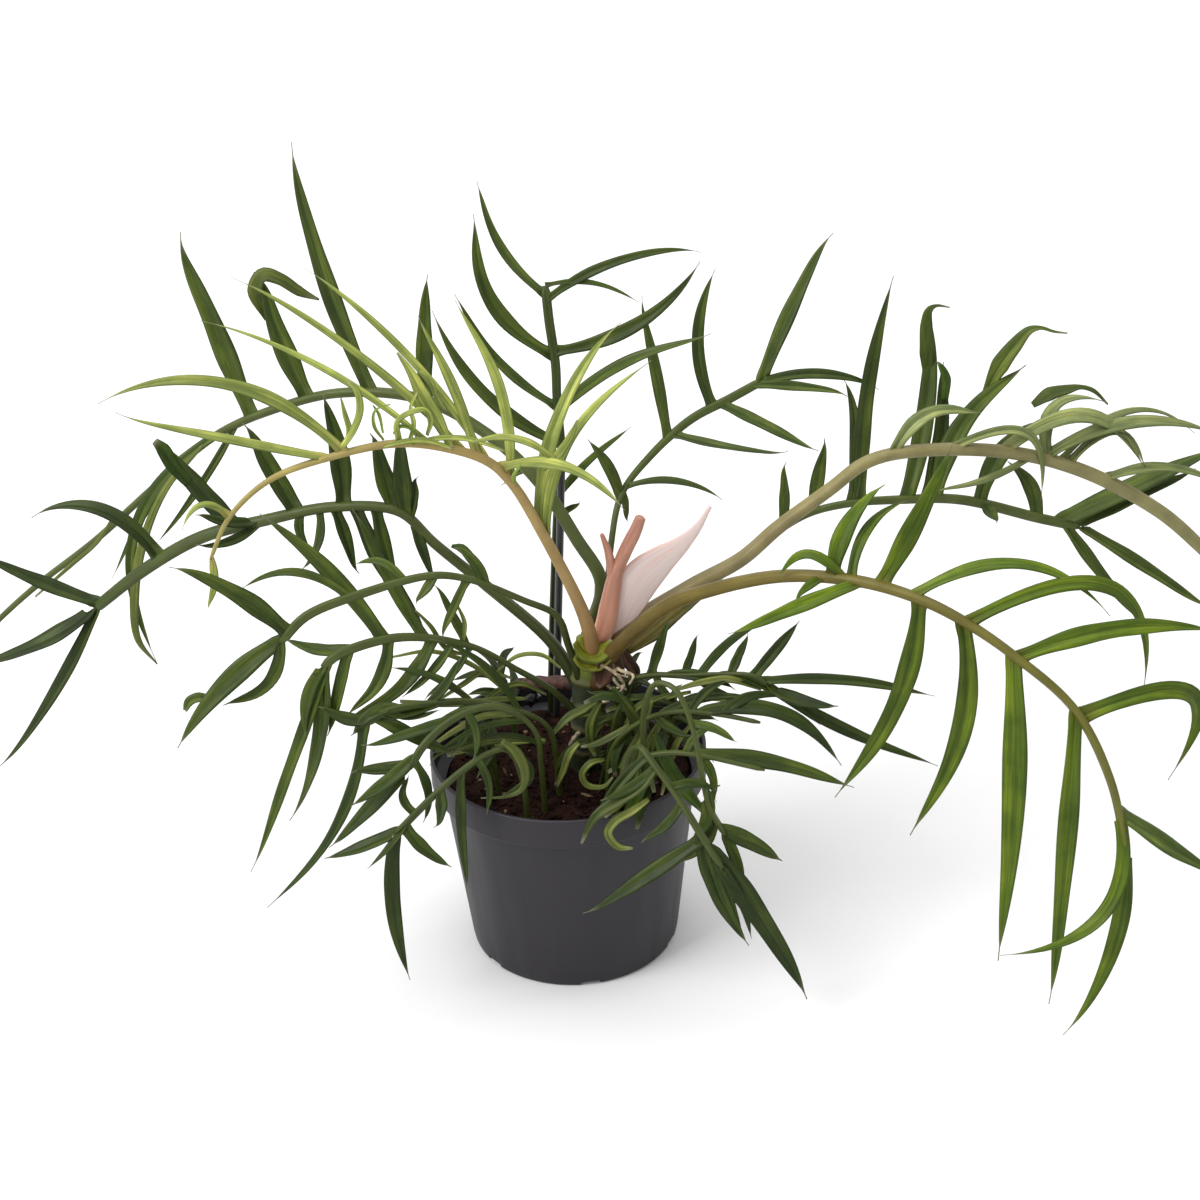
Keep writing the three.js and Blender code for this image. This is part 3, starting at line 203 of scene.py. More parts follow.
# Curls and folds of leaflets: the tone, yellower than the frond above 0 and greener below it, and
# then points on the middle line with the width at each
CURLS = {
    "frond_chartreuse": [
        (0.25, (-82, -30, 255, 2.5), (-77, -29, 262, 3), (-74, -28, 270, 3), (-75, -27, 278, 2.5),
         (-78, -26, 281, 1)),
        (0.3, (-60, -27, 255, 2.5), (-60, -29, 264, 2.5), (-56, -30, 268, 2.5), (-49, -29, 269, 2.5),
         (-47, -28, 264, 2.5), (-49, -26, 257, 1.5)),
        (-0.3, (-66, -27, 256, 1), (-69, -29, 263, 1.5), (-68, -30, 270, 1), (-62, -29, 272, 0.5)),
        (0.4, (-55, -27, 254, 1.5), (-44, -27, 256, 2.5), (-32, -25, 254, 2.5), (-19, -24, 248, 1)),
        (0.3, (-40, -25, 251, 2.5), (-45, -22, 262, 5.5), (-50, -20, 271, 6), (-54, -18, 280, 3.5),
         (-59, -16, 288, 1)),
        (0.2, (-56, -27, 255, 1.5), (-54, -24, 261, 2), (-55, -22, 267, 1.5), (-52, -21, 273, 1)),
        (-0.5, (-69, -27, 271, 0.6), (-67, -27, 267, 1.4), (-66, -27, 259, 0.8)),
        (-0.4, (-62, -28, 259, 0.8), (-59, -28, 262, 1.8), (-55, -28, 261, 1.6), (-53, -28, 257, 0.6)),
        (0.1, (-50, -26, 284, 1), (-46, -26, 279, 2.6), (-44, -26, 272, 2.2), (-41, -26, 267, 1)),
        (0.3, (-66, -29, 254, 1), (-58, -29, 256, 2.4), (-49, -29, 256, 2.6), (-39, -29, 252, 1)),
        (0, (-83, -28, 252, 1), (-79, -28, 260, 2.6), (-80, -28, 268, 2), (-81, -28, 275, 0.6)),
        (0.2, (-32, -28, 254, 1), (-21, -28, 256, 3), (-9, -28, 253, 3.4), (2, -28, 244, 1.5)),
        (0.2, (-4, -26, 240, 1.5), (3, -26, 248, 4), (7, -26, 254, 3), (10, -26, 261, 1)),
        (-0.3, (-13, -29, 244, 1), (-16, -29, 239, 2), (-15, -29, 235, 0.8)),
    ],
    "frond_left_top": [
        (0.1, (-123, 86, 264, 3), (-127, 86, 277, 7), (-123, 86, 284, 7.5), (-116, 86, 282, 6),
         (-108, 86, 276, 5), (-100, 86, 272, 1)),
        (0.15, (-194, 60, 187, 1.5), (-204, 60, 173, 2.2), (-218, 60, 161, 2.2), (-236, 60, 146, 1)),
        (0.25, (-153, 60, 217, 1.5), (-172, 60, 196, 3.5), (-185, 60, 170, 4.5), (-192, 60, 143, 4.5),
         (-193, 60, 122, 3), (-186, 60, 109, 0.6)),
    ],
    "frond_left_middle": [
        (-0.2, (-45, 9, 190, 1.5), (-41, 7, 190, 4), (-37, 5, 186, 4), (-34, 4, 179, 1.5)),
        (-0.1, (-153, 20, 218, 4.5), (-159, 20, 227, 6.2), (-162, 20, 234, 6), (-165, 20, 238, 3)),
    ],
    "frond_pot_left_high": [
        (0.5, (-9, -20, 111, 1.5), (-20, -20, 111, 3), (-30, -20, 110, 3.4), (-41, -20, 108, 3),
         (-51, -20, 105, 1.5)),
        (0.4, (-14, -16, 121, 1.5), (-26, -16, 122, 3), (-36, -16, 121, 3.4), (-47, -16, 115, 3),
         (-57, -16, 108, 1.5)),
        (0.3, (-17, -12, 127, 1.5), (-28, -12, 127, 3), (-40, -12, 126, 3.4), (-55, -12, 126, 3),
         (-70, -12, 128, 1.5)),
        (0.4, (-19, -14, 124, 1.5), (-30, -14, 117, 3), (-42, -14, 112, 3.3), (-51, -14, 105, 1.5)),
        (0.15, (-9, -24, 112, 1.5), (-21, -28, 117, 2.5), (-34, -32, 118, 2.5), (-48, -36, 117, 1)),
    ],
    "frond_pot_left_low": [
        (0.12, (-26, -48, 129, 2.5), (-20, -50, 124, 4.5), (-17, -52, 115, 4), (-19, -53, 108, 2.5),
         (-25, -53, 105, 1.5), (-36, -52, 104, 0.5)),
    ],
    "tuft_middle": [
        (0.3, (5, -26, 113, 2), (1, -28, 109, 3.5), (-2, -29, 101, 3), (-5, -30, 94, 1.5)),
        (0.35, (16, -26, 104, 1.5), (10, -28, 104, 3), (6, -29, 99, 3), (8, -30, 94, 3),
         (15, -30, 93, 2), (19, -29, 97, 1)),
        (0.1, (31, -24, 120, 3.5), (29, -23, 125, 4), (23, -22, 128, 3.5), (17, -23, 126, 1.5)),
        (0.15, (45, -24, 134, 1.5), (38, -26, 133, 2.5), (31, -26, 130, 3), (26, -25, 122, 2),
         (23, -24, 113, 1)),
        (0.1, (15, -18, 129, 1.5), (8, -20, 126, 4), (1, -22, 123, 4), (-6, -24, 116, 1.5)),
        (0, (28, -26, 118, 2.5), (23, -28, 114, 4), (20, -30, 107, 4), (20, -32, 99, 1.5)),
        (0.1, (31, -27, 116, 2.5), (32, -29, 109, 5), (29, -31, 100, 4), (24, -33, 94, 1.5)),
        (0.3, (16, -20, 119, 2), (12, -22, 116, 3.5), (10, -24, 111, 3), (12, -25, 105, 1.5)),
        (0.05, (20, -27, 140, 2), (28, -27, 126, 5), (33, -27, 111, 5), (36, -27, 101, 2)),
        (0.15, (36, -30, 135, 2), (31, -30, 118, 4.5), (24, -30, 106, 4), (17, -30, 100, 1.5)),
        (-0.1, (37, -36, 122, 2.5), (42, -36, 107, 6), (49, -41, 97, 6), (56, -60, 98, 2)),
        (0.1, (31, -38, 118, 2.5), (27, -38, 104, 6), (22, -47, 97, 5), (15, -59, 97, 1.5)),
        (0, (39, -36, 112, 2.5), (34, -37, 98, 5), (30, -55, 97, 4), (28, -68, 97, 1.5)),
        (0.1, (15, -24, 132, 2), (10, -24, 120, 4), (11, -24, 108, 3.5), (15, -24, 100, 1)),
        (0.2, (41, -34, 130, 2), (35, -34, 116, 4.5), (34, -34, 103, 4), (36, -42, 97, 1.5)),
        (0.1, (27, -28, 122, 2), (18, -28, 116, 3.5), (12, -28, 113, 3), (6, -28, 112, 1)),
        (0.25, (52, -30, 122, 1.5), (46, -30, 113, 3), (42, -30, 99, 3), (39, -44, 97, 1)),
        (0, (31, -24, 126, 2), (24, -24, 132, 4), (16, -24, 134, 4), (8, -24, 131, 1.5)),
        (-0.1, (35, -42, 113, 2), (30, -42, 99, 5.5), (25, -56, 97, 4.5), (19, -65, 98, 1)),
    ],
    "frond_rim_right_low": [
        (0.6, (51, -52, 108, 1), (55, -52, 106, 1.8), (59, -52, 105, 1.5), (63, -52, 106, 0.6)),
    ],
    "frond_left_lower": [
        (0.35, (-71, -16, 152, 1), (-55, -16, 154, 2), (-40, -16, 148, 2.3), (-27, -16, 136, 2),
         (-20, -16, 126, 1)),
        (0.25, (-60, -18, 175, 0.8), (-54, -18, 167, 2), (-48, -18, 156, 2.2), (-37, -18, 152, 1)),
        (0.3, (-43, -18, 178, 0.8), (-40, -18, 168, 2), (-42, -18, 155, 1.4)),
        (0.3, (-28, -12, 141, 1), (-19, -12, 148, 2), (-9, -12, 148, 2), (-1, -12, 141, 1)),
        (0.2, (-53, -10, 127, 1), (-43, -10, 134, 2.6), (-33, -10, 140, 2.6), (-22, -10, 136, 1)),
        (0.2, (-38, -6, 120, 1), (-28, -6, 128, 2.6), (-19, -6, 131, 2.6), (-8, -6, 125, 1)),
    ],
    "frond_right_back": [
        (0, (166, 96, 217, 3), (165, 96, 233, 7.5), (164, 96, 246, 5.5), (165, 96, 253, 3.5),
         (168, 96, 255, 1.6), (174, 96, 254, 0.6)),
        (0.05, (192, 98, 212, 3), (198, 98, 225, 8.5), (204, 98, 234, 7), (210, 98, 241, 4.2),
         (215, 98, 242, 2), (221, 98, 240, 1.4), (227, 98, 239, 0.7)),
        (0.05, (214, 100, 204, 3), (221, 100, 209, 7), (229, 100, 211, 5), (235, 100, 212, 2.4),
         (241, 100, 210, 2.4), (248, 100, 203, 1)),
        (-0.2, (173, 92, 212, 3), (173, 92, 222, 4.6), (171, 92, 227, 3.4), (169, 92, 230, 1)),
    ],
    "frond_left_low": [
        (0, (-144, -40, 149, 3), (-149, -40, 150, 4.5), (-153, -40, 148, 4.5), (-155, -40, 144, 2)),
    ],
    "frond_drop_front": [
        (0.45, (33, -68, 111, 2), (26, -70, 107, 3.5), (19, -71, 103, 4), (16, -72, 98, 3.5),
         (20, -72, 91, 3), (26, -72, 90, 1)),
        (0.05, (36, -66, 124, 2.5), (30, -68, 118, 5.5), (20, -70, 112, 5.5), (11, -72, 106, 4),
         (5, -73, 94, 1)),
    ],
    "frond_right_middle": [
        (0.2, (53, -18, 131, 1.5), (43, -20, 130, 2.5), (33, -22, 127, 2.5), (28, -22, 122, 1.5)),
        (0.3, (47, -24, 136, 1.5), (57, -24, 139, 3), (69, -24, 140, 3.5), (82, -24, 135, 2)),
        (0.35, (50, -22, 129, 1), (59, -22, 130, 2.5), (69, -22, 129, 3), (80, -22, 125, 1)),
    ],
}

# The young tufts: their leaflets fan out to one side of a short stalk, in degrees from +X, each
# turned from the last by the golden ratio
GOLDEN_RATIO = (math.sqrt(5) - 1) / 2
TUFTS = [
    ("tuft_left", (-30, -20), (-33, -24, 116), 27, 185, 210, 11),
    ("tuft_right", (40, -4), (46, -8, 118), 26, 0, 220, 24),
    ("tuft_back_right", (23, 11), (28, 17, 122), 18, 30, 260, 13),
    ("tuft_back", (-22, 16), (-28, 20, 120), 24, 175, 200, 15),
]
TUFT_LEAFLETS = 8
TUFT_GIRTH = (1.4, 0.9)
TUFT_DEPTH = 14
TUFT_SPREAD = 0.6
TUFT_LENGTHS = (0.75, 1.25)
TUFT_WIDTHS = (2.6, 4)
TUFT_RISE = 0.35
TUFT_DROOP = 0.5
TUFT_BOW = 0.16

# The stem's middle line, its radius along it, and where its rings stand
STEM_LINE = [(7, 0, 64), (7, 0, 84), (8, 0, 100), (10, 0, 124), (11, 0, 148)]
STEM_GIRTH = (5.5, 6.2, 6.4, 7.2, 6.0)
STEM_RINGS = (0.36, 0.5, 0.64, 0.78, 0.9)
STEM_RING_SWELL = 0.8
STEM_RING_REACH = 0.014
STEM_RIPPLE = 0.3
STEM_RIPPLES = (3, 9)
STEM_STEPS = 90
STEM_SIDES = 36
STEM_TOP = (0.97, 0.93)  # past this share of its length, it has this share of its radius

# Aerial roots curl out of the stem
AERIAL_ROOTS = [
    [(10, -4, 140), (14, -12, 143), (20, -15, 141), (25, -15, 134), (23, -13, 129)],
    [(10, -4, 121), (15, -12, 124), (22, -16, 127), (26, -15, 122)],
    [(7, -4, 106), (2, -10, 104), (-1, -11, 95)],
    [(17, -7, 143), (20, -11, 142), (22, -13, 138), (27, -14, 137)],
    [(18, -7, 142), (19, -12, 139), (22, -14, 134), (26, -13, 130)],
    [(20, -9, 140), (24, -12, 139), (29, -13, 137), (27, -14, 133)],
    [(15, -7, 140), (17, -11, 134), (20, -13, 131), (25, -14, 133)],
]
ROOT_GIRTH = (1.0, 0.5)
ROOT_STEPS = 40
ROOT_SIDES = 10
ROOT_RIPPLE = 0.14
ROOT_RIPPLES = 37
ROOT_TIP = 0.4

# The cut stub of an old stem, with its dark knob, and the scales that clasp the crown: a colour,
# and then points on the middle line with the width at each
OLD_STEM = [(-22, 13, 120), (-15, 12, 120), (-6, 9, 122), (5, 5, 123)]
OLD_STEM_GIRTH = (2, 3.2, 3, 2.8)
OLD_STEM_STEPS = 30
OLD_STEM_SIDES = 18
OLD_STEM_RIPPLE = 0.1
OLD_STEM_RIPPLES = 21
OLD_STEM_END = 0.6
KNOB = (-15, 8, 115)
KNOB_SIZE = (5, 4, 4)
SCALES = [
    ((0.14, 0.15, 0.008),
     (6, -11, 154, 5), (9, -11, 149, 9), (14, -11, 147, 9.5), (18, -11, 149, 7), (21, -11, 153, 3)),
    ((0.1, 0.105, 0.01),
     (5, -12, 147, 4), (9, -12, 143, 7), (15, -12, 143, 7), (20, -12, 146, 3)),
    ((0.05, 0.02, 0.01),
     (15, -13, 146, 3), (17, -13, 141, 8), (16, -13, 136, 8), (14, -13, 132, 2)),
    ((0.05, 0.02, 0.01),
     (20, -11, 150, 3), (21, -11, 144, 7), (23, -11, 138, 6), (25, -11, 133, 1.5)),
    ((0.05, 0.02, 0.01),
     (25, -6, 145, 3), (27, -6, 140, 6), (30, -6, 135, 5), (31, -6, 130, 1)),
    ((0.11, 0.09, 0.022),
     (27, 0, 141, 3), (38, 0, 150, 8), (53, 0, 164, 7), (67, 0, 173, 1)),
]

# The stake: its radius, and where its rings stand, closer together in its rounded ends
STAKE_FOOT = (-8, 44, 40)
STAKE_TOP = (2, 44, 213)
STAKE_RINGS = [0, 0.004, *np.linspace(0.01, 0.99, 40), 0.994, 0.998, 1]
STAKE_RADIUS = 1.7
STAKE_FOOT_RADIUS = 1.1
STAKE_TIP_RADII = (1.62, 1.3, 0.7)
STAKE_SIDES = 20

# The pale sheath: its middle line and its widths along it, how deep it is cupped for its width,
# half its thickness in the middle, and the share of that which its edges lose
CATAPHYLL_LINE = [
    (14.6, -3.6, 140), (21.8, -1.4, 150), (26.4, -1.8, 162.5), (33.4, -2, 176.5), (41.4, -2, 184.7),
    (50.2, -1.2, 191.6), (57.4, -0.2, 199), (62.9, 1.3, 208),
]
CATAPHYLL_WIDTHS = (2.8, 6.6, 11.6, 16.5, 17.8, 13.2, 7.6, 3.4, 1.2)
CATAPHYLL_FACING = (0.1, -1, 0.2)
CATAPHYLL_CUP = 0.072
CATAPHYLL_HALF = 0.45
CATAPHYLL_THIN = 0.5
CATAPHYLL_STEPS = 48
CATAPHYLL_ACROSS = 17
CATAPHYLL_BLUR = 9

# The rolled new leaf and its two prongs
NEW_LEAF_BODY = [
    (12.3, -3, 141), (17.4, -2.5, 154.6), (20.2, -2, 166.6), (22.6, -2, 178.6), (24.8, -2, 185.6),
]
NEW_LEAF_PRONGS = [
    [(22.8, -2, 179.6), (27.8, -2, 191.6), (31.8, -1.5, 199.6), (34.3, -0.5, 205.6)],
    [(21.8, -2, 178.6), (20.4, -2, 189.6), (17.8, -1.5, 198.6)],
]
NEW_LEAF_GIRTH = (2.8, 4.2, 4.3, 3.7, 2.5)
NEW_LEAF_PRONG_GIRTHS = [(2.4, 2.9, 2.9, 2.3), (2.3, 1.8, 0.9)]
NEW_LEAF_STEPS = 40
NEW_LEAF_SIDES = 28
NEW_LEAF_TIP = 0.55
SEAM_START = 1.2
SEAM_TURN = 2.4
SEAM_STEP = (0.9, 0.16)  # the radius just past the seam, and what it gains in one turn

# The leaves. Each draws its own numbers from a seed: how it rolls and twists, how deep it is
# cupped, its tone and its edge. Lengths are in millimetres.
FIRST_SEED = 100
OWN_SEED_STEP = 5000
BLADE_FACING = (0, -0.6, 0.8)
BLADE_ROLL = 0.7
BLADE_TWIST = 0.9
BLADE_FULLNESS = 1.2
BLADE_ACROSS = np.array([-1, -0.8, -0.5, -0.22, 0, 0.22, 0.5, 0.8, 1])
BLADE_CUP = (0.35, 0.5)  # the least, and what chance can add
BLADE_TONES = 0.4
BLADE_DARKEST = 0.002
BLADE_STEP = 3
BLADE_RINGS = (12, 40)
STRAND_STEP = 1.5
STRAND_RINGS = (12, 50)
EDGE_WAVE = 0.05
EDGE_WAVES = (8, 9, 6)  # the least, what chance can add, and where they may start
CUP_ROUND = 0.015
CUP_MIDDLE = 0.34
CUP_FLAT = 0.55
EDGE_THIN = 0.7
FINEST = 0.3  # the share of its thickness that is left where a blade has no width
FULL_HALF = 1.4
FOOT_TURN = (2, 1.2)  # how far from the stalk a blade takes its own direction, by its half width
LEAF_THICKNESS = 0.5
LEAF_RIB = 0.35
LEAF_RIB_REACH = 0.16
LEAF_FOOT = 0.64
LEAF_FOOT_END = 0.35
LEAF_END = 0.95
LEAF_TAPER = (3.2, 0.9)
LEAF_THREAD = 0.05
LEAF_HOOK = 2.4
HOOK_SWAY = 17.6  # turns a hook in millimetres into the size of its curve
WEB_LENGTH = 7
WEB_WIDTH = 1.8
WEB_REACH = 1.7
WEB_RINGS = 8
WEB_GATHER = 1.6

# The stalks: how they swell at the foot and widen to wings towards the tip, how their colour
# blushes near the foot, and the painted shade that darkens them there
TUBE_FACING = (0.31, -0.95, 0.11)
GROOVE_REACH = 0.16
STALK_SIDES = 16
STALK_STEP = 3
STALK_SWELL = 0.25
STALK_SWELL_REACH = 9
STALK_TIP = 0.5
STALK_GROOVE = 0.22
STALK_TIP_LEAF = 0.6
STALK_WING = 1.3
STALK_WING_FROM = 0.35
STALK_WINGS = {
    "frond_left_top": 0.2,
    "frond_chartreuse": 0.1,
    "frond_rim_right_high": 0.1,
    "frond_rim_right_low": 0.1,
}
STALK_SHADES = {"frond_back": 0.3}
STALK_BLUSH = 14
BLUSH = (0.0, 0.35, 0.5)  # the shares of red, green and blue that a foot loses
# Painted shade at the foot: the share of its colour that a stalk's foot loses, and the millimetres over
# which that fades
FOOT_SHADE = 0.55
FOOT_REACH = 45

# The pot, in millimetres: the rounding of its edges, its drain slots and how finely it is turned
POT_SIDES = 144
POT_MIDDLE = 0.01
POT_FOOT_ROUND = 2
POT_LIP_ROUND = 0.9
POT_RIM_ROUND = 0.8
POT_INNER_ROUND = 0.5
POT_CREASE = 38
ARC_STEPS = 5
SLOT_HEIGHT = 2.4
SLOT_HALF_WIDTH = 4
SLOT_TURN = 0.63  # where the first slot is, as a share of the angle between two
SLOT_EDGE = 0.012
SLOT_CLEAR = 0.02
SLOT_DEPTH = 5
POT_SIDE_RINGS = (0.06, 0.25, 0.5, 0.75, 0.97)
POT_SHOULDER = (0.3, 0.35)
POT_LIP_START = 1.2
POT_BEND = 1

# The potting mix, in millimetres: the shape of its surface, and its loose crumbs and chips. Where
# there are two numbers, the first is the least and the second is what chance can add.
SOIL_SIDES = 120
SOIL_RINGS = 46
SOIL_MIDDLES = (0.3, 0.5)
SOIL_BEVEL = 2
SOIL_EDGE = 0.8
SOIL_WAVE = 1.6
SLOW_SHARE = 0.6
SOIL_CLODS = 1.3
CLOD_SCALE = 0.16
CLOD_PLANE = 3.1
CLOD_NOISE = (0.8, 2.1, 4)  # how rough it is, how much finer each layer is, and how many there are
SOIL_SINK = 0.4
SOIL_GAP = 0.6
SOIL_FOOT_GAP = 0.4
SOIL_DROP = 1.2
CRUMB_EDGE = 3
CRUMB_SIZE = (0.5, 1.1)
CRUMB_WIDTH = (0.6, 0.4)
CRUMB_HEIGHT = 0.7
CHIP_SIZES = ((2, 2.6), (1.1, 1), (0.6, 0.5))
LUMP_LIFT = 0.4
LUMP_RINGS = 7
LUMP_SIDES = 7
LUMP_END = 0.15
LUMP_TILT = 6.3
LUMP_ROUGH = (0.75, 0.5)
LUMP_GRAIN = 1.3

# The stage, in metres: half the floor's width, and the two soft square lights
FLOOR_REACH = 8
KEY_PLACE = (-3.0, -1.65, 3.45)
KEY_SIZE = 2.4
TOP_PLACE = (0.3, 0.9, 4.8)
TOP_SIZE = 3.6
TOP_SHARE = 0.5
LIGHTS_LOOK_AT = (0, 0, 0.1)

# The random draws: what is added at each one, and how many values there are
DRAW_STEP = 0x6D2B79F5
DRAW_RANGE = 4294967296


# Lines
def unit(vectors):
    """The vectors, each brought to a length of 1."""
    vectors = np.asarray(vectors, float)
    return vectors / np.maximum(np.linalg.norm(vectors, axis=-1, keepdims=True), 1e-12)


def smooth_line(knots, per_span=24):
    """Points on a smooth line through the knots, closer together round tight bends."""
    knots = np.asarray(knots, float)
    ends = np.vstack([2 * knots[0] - knots[1], knots, 2 * knots[-1] - knots[-2]])
    share = np.linspace(0, 1, per_span, endpoint=False)[:, None]
    rows = []
    for a, b, c, d in zip(ends, ends[1:], ends[2:], ends[3:]):
        before, here, after = (math.sqrt(np.linalg.norm(q - p)) for p, q in ((a, b), (b, c), (c, d)))
        leave = ((b - a) / before - (c - a) / (before + here) + (c - b) / here) * here
        arrive = ((c - b) / here - (d - b) / (here + after) + (d - c) / after) * here
        cubic = 2 * b - 2 * c + leave + arrive
        square = -3 * b + 3 * c - 2 * leave - arrive
        rows.append(b + share * (leave + share * (square + share * cubic)))
    return np.vstack(rows + [knots[-1:]])


class Line:
    """A smooth line through points, walked by share of its length."""

    def __init__(self, knots):
        self.points = smooth_line(knots)
        steps = np.linalg.norm(np.diff(self.points, axis=0), axis=1)
        self.walked = np.concatenate([[0], np.cumsum(steps)])
        self.length = self.walked[-1]

    def at(self, share):
        """The points at these shares of the length."""
        place = np.clip(share, 0, 1) * self.length
        return np.stack([np.interp(place, self.walked, axis) for axis in self.points.T], -1)

    def heading(self, share):
        """The directions in which the line runs at these shares."""
        step = HEADING_STEP / self.length
        share = np.asarray(share, float)
        return unit(self.at(np.minimum(share + step, 1)) - self.at(np.maximum(share - step, 0)))


def along(values, share):
    """A value along a list of evenly spaced ones."""
    return np.interp(share, np.linspace(0, 1, len(values)), values)


def smooth_step(share):
    """Eases from 0 to 1."""
    share = np.clip(share, 0, 1)
    return share * share * (3 - 2 * share)


def random_source(seed):
    """Evenly spread numbers from 0 to 1, the same each run."""
    mask = DRAW_RANGE - 1
    state = seed & mask

    def draw():
        nonlocal state
        state = (state + DRAW_STEP) & mask
        t = ((state ^ (state >> 15)) * (state | 1)) & mask
        t ^= (t + ((t ^ (t >> 7)) * (t | 61) & mask)) & mask
        return ((t ^ (t >> 14)) & mask) / DRAW_RANGE

    return draw


def round_angles(count):
    """Evenly spaced angles round a circle."""
    return np.linspace(0, TURN, count, endpoint=False)


def turned(vectors, axes, angles):
    """The vectors, each turned about its own axis, which it stands square to."""
    angles = np.asarray(angles, float)[..., None]
    return vectors * np.cos(angles) + np.cross(axes, vectors) * np.sin(angles)


# Meshes
# What the points of a skin carry for its materials, and how many values each has
MARK_WIDTHS = {"tone": 3, "across": 1, "under": 1, "run": 1, "tint": 1}


class Skin:
    """Collects the rings of one piece, in millimetres, with what its materials read at each point."""

    def __init__(self):
        self.points = []
        self.faces = []
        self.face_slots = []
        self.marks = {}
        self.count = 0

    def add(self, rings, marks, slot=0):
        """Joins rings of points, an array (rings, points, 3), into a skin with closed ends."""
        rings = np.asarray(rings, float)
        total, sides = rings.shape[:2]
        index = np.arange(total * sides).reshape(total, sides) + self.count
        a = index[:-1]
        b = np.roll(index, -1, axis=1)[:-1]
        c = np.roll(index, -1, axis=1)[1:]
        d = index[1:]
        faces = np.stack([a, b, c, d], -1).reshape(-1, 4).tolist()
        faces.append(index[0][::-1].tolist())
        faces.append(index[-1].tolist())
        self.points.append(rings.reshape(-1, 3))
        self.faces += faces
        self.face_slots += [slot] * len(faces)
        for name, width in MARK_WIDTHS.items():
            shape = (total, sides, 3) if width == 3 else (total, sides)
            spread = np.broadcast_to(np.asarray(marks.get(name, 0.0), float), shape)
            self.marks.setdefault(name, []).append(spread.reshape(-1, width))
        self.count += total * sides

    def build(self, name, materials, node):
        """Makes the object, in metres, in place of its node."""
        mesh = bpy.data.meshes.new(name)
        points = np.vstack(self.points) * MM
        mesh.from_pydata(points.tolist(), [], self.faces)
        for material in materials:
            mesh.materials.append(material)
        mesh.polygons.foreach_set("material_index", self.face_slots)
        mesh.polygons.foreach_set("use_smooth", [True] * len(self.faces))
        for mark, values in self.marks.items():
            values = np.vstack(values)
            if values.shape[1] == 3:
                made = mesh.color_attributes.new(mark, "FLOAT_COLOR", "POINT")
                rows = np.hstack([values, np.ones((len(values), 1))])
                made.data.foreach_set("color", rows.ravel())
            else:
                made = mesh.attributes.new(mark, "FLOAT", "POINT")
                made.data.foreach_set("value", values.ravel())
        mesh.validate()
        mesh.update()
        piece = bpy.data.objects.new(name, mesh)
        bpy.context.scene.collection.objects.link(piece)
        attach(piece, BODY)
        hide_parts(node)
        return piece


def tube_rings(line, shares, radii, sides, groove=0.0):
    """Rings round a line, carried along it without spinning. A groove runs down its upper side.

    There is one radius for each ring, or one for each of its points.
    """
    shares = np.asarray(shares, float)
    normal = np.array(TUBE_FACING)
    up = np.array([0, 0, 1.0])
    angles = round_angles(sides)
    rings = []
    for middle, heading, radius in zip(line.at(shares), line.heading(shares), radii):
        normal = unit(normal - heading * (normal @ heading))
        side = np.cross(heading, normal)
        out = np.outer(np.cos(angles), normal) + np.outer(np.sin(angles), side)
        top = unit(up - heading * (up @ heading) + 0.01 * normal)
        dip = groove * np.exp(-(((1 - out @ top) / GROOVE_REACH) ** 2))
        rings.append(middle + out * (radius * (1 - dip))[:, None])
    return np.array(rings)


def square_to(headings, facing):
    """The direction that comes nearest to a facing, square to each heading."""
    facing = np.array(facing)
    return unit(facing - headings * (headings @ facing)[:, None])


def blade_rings(middle, side, out, face, lift):
    """Rings of points, each this far out to the side of a middle line and this far above it."""
    return middle[:, None] + side[:, None] * out[..., None] + face[:, None] * lift[..., None]


def leaf_shape(share):
    """A leaflet's width along its length, from its narrow foot to its fine thread of a tip."""
    foot = LEAF_FOOT + (1 - LEAF_FOOT) * smooth_step(share / LEAF_FOOT_END)
    taper = 1 - np.minimum(share / LEAF_END, 1) ** LEAF_TAPER[0]
    return foot * taper**LEAF_TAPER[1] + LEAF_THREAD


def blade_shares(length):
    """Where the rings of a blade stand along it: close together in the web at its foot."""
    web = min(WEB_LENGTH, LEAF_FOOT_END * length)
    foot = web * np.linspace(0, 1, WEB_RINGS) ** WEB_GATHER
    rest = np.linspace(web, length, int(np.clip(length / BLADE_STEP, *BLADE_RINGS)) + 1)[1:]
    return np.concatenate([foot, rest]) / length


def add_leaflet(skin, stalk, row, draw, own, looks):
    """One narrow leaflet on its stalk, which it joins in a rounded web."""
    from_tip, dx, dy, dz, bow, width = row[:6]
    hook = (*row[6:], 0)[0] + (own() - 0.5) * LEAF_HOOK
    at = max(0, 1 - from_tip / stalk.length)
    root = stalk.at(at)
    reach = np.array([dx, dy, dz], float)
    left = unit([-dz, 0, dx])
    control = root + reach / 2 + 2 * bow * left
    length = np.linalg.norm(reach)
    share = blade_shares(length)
    t = share[:, None]
    middle = (1 - t) ** 2 * root + 2 * t * (1 - t) * control + t * t * (root + reach)
    middle = middle + left * (HOOK_SWAY * hook * share**6 * (1 - share))[:, None]
    half = BLADE_FULLNESS * width * leaf_shape(share) / 2
    waves = share * (EDGE_WAVES[0] + EDGE_WAVES[1] * own()) + EDGE_WAVES[2] * own()
    half = half * (1 + EDGE_WAVE * np.sin(waves))
    half = half + min(WEB_WIDTH, width / 3) * np.exp(-share * length / WEB_REACH)
    turns = (draw() - 0.5) * BLADE_ROLL, (draw() - 0.5) * BLADE_TWIST
    add_blade(skin, share, middle, half, turns, own, looks, along_stalk=stalk.heading(at))


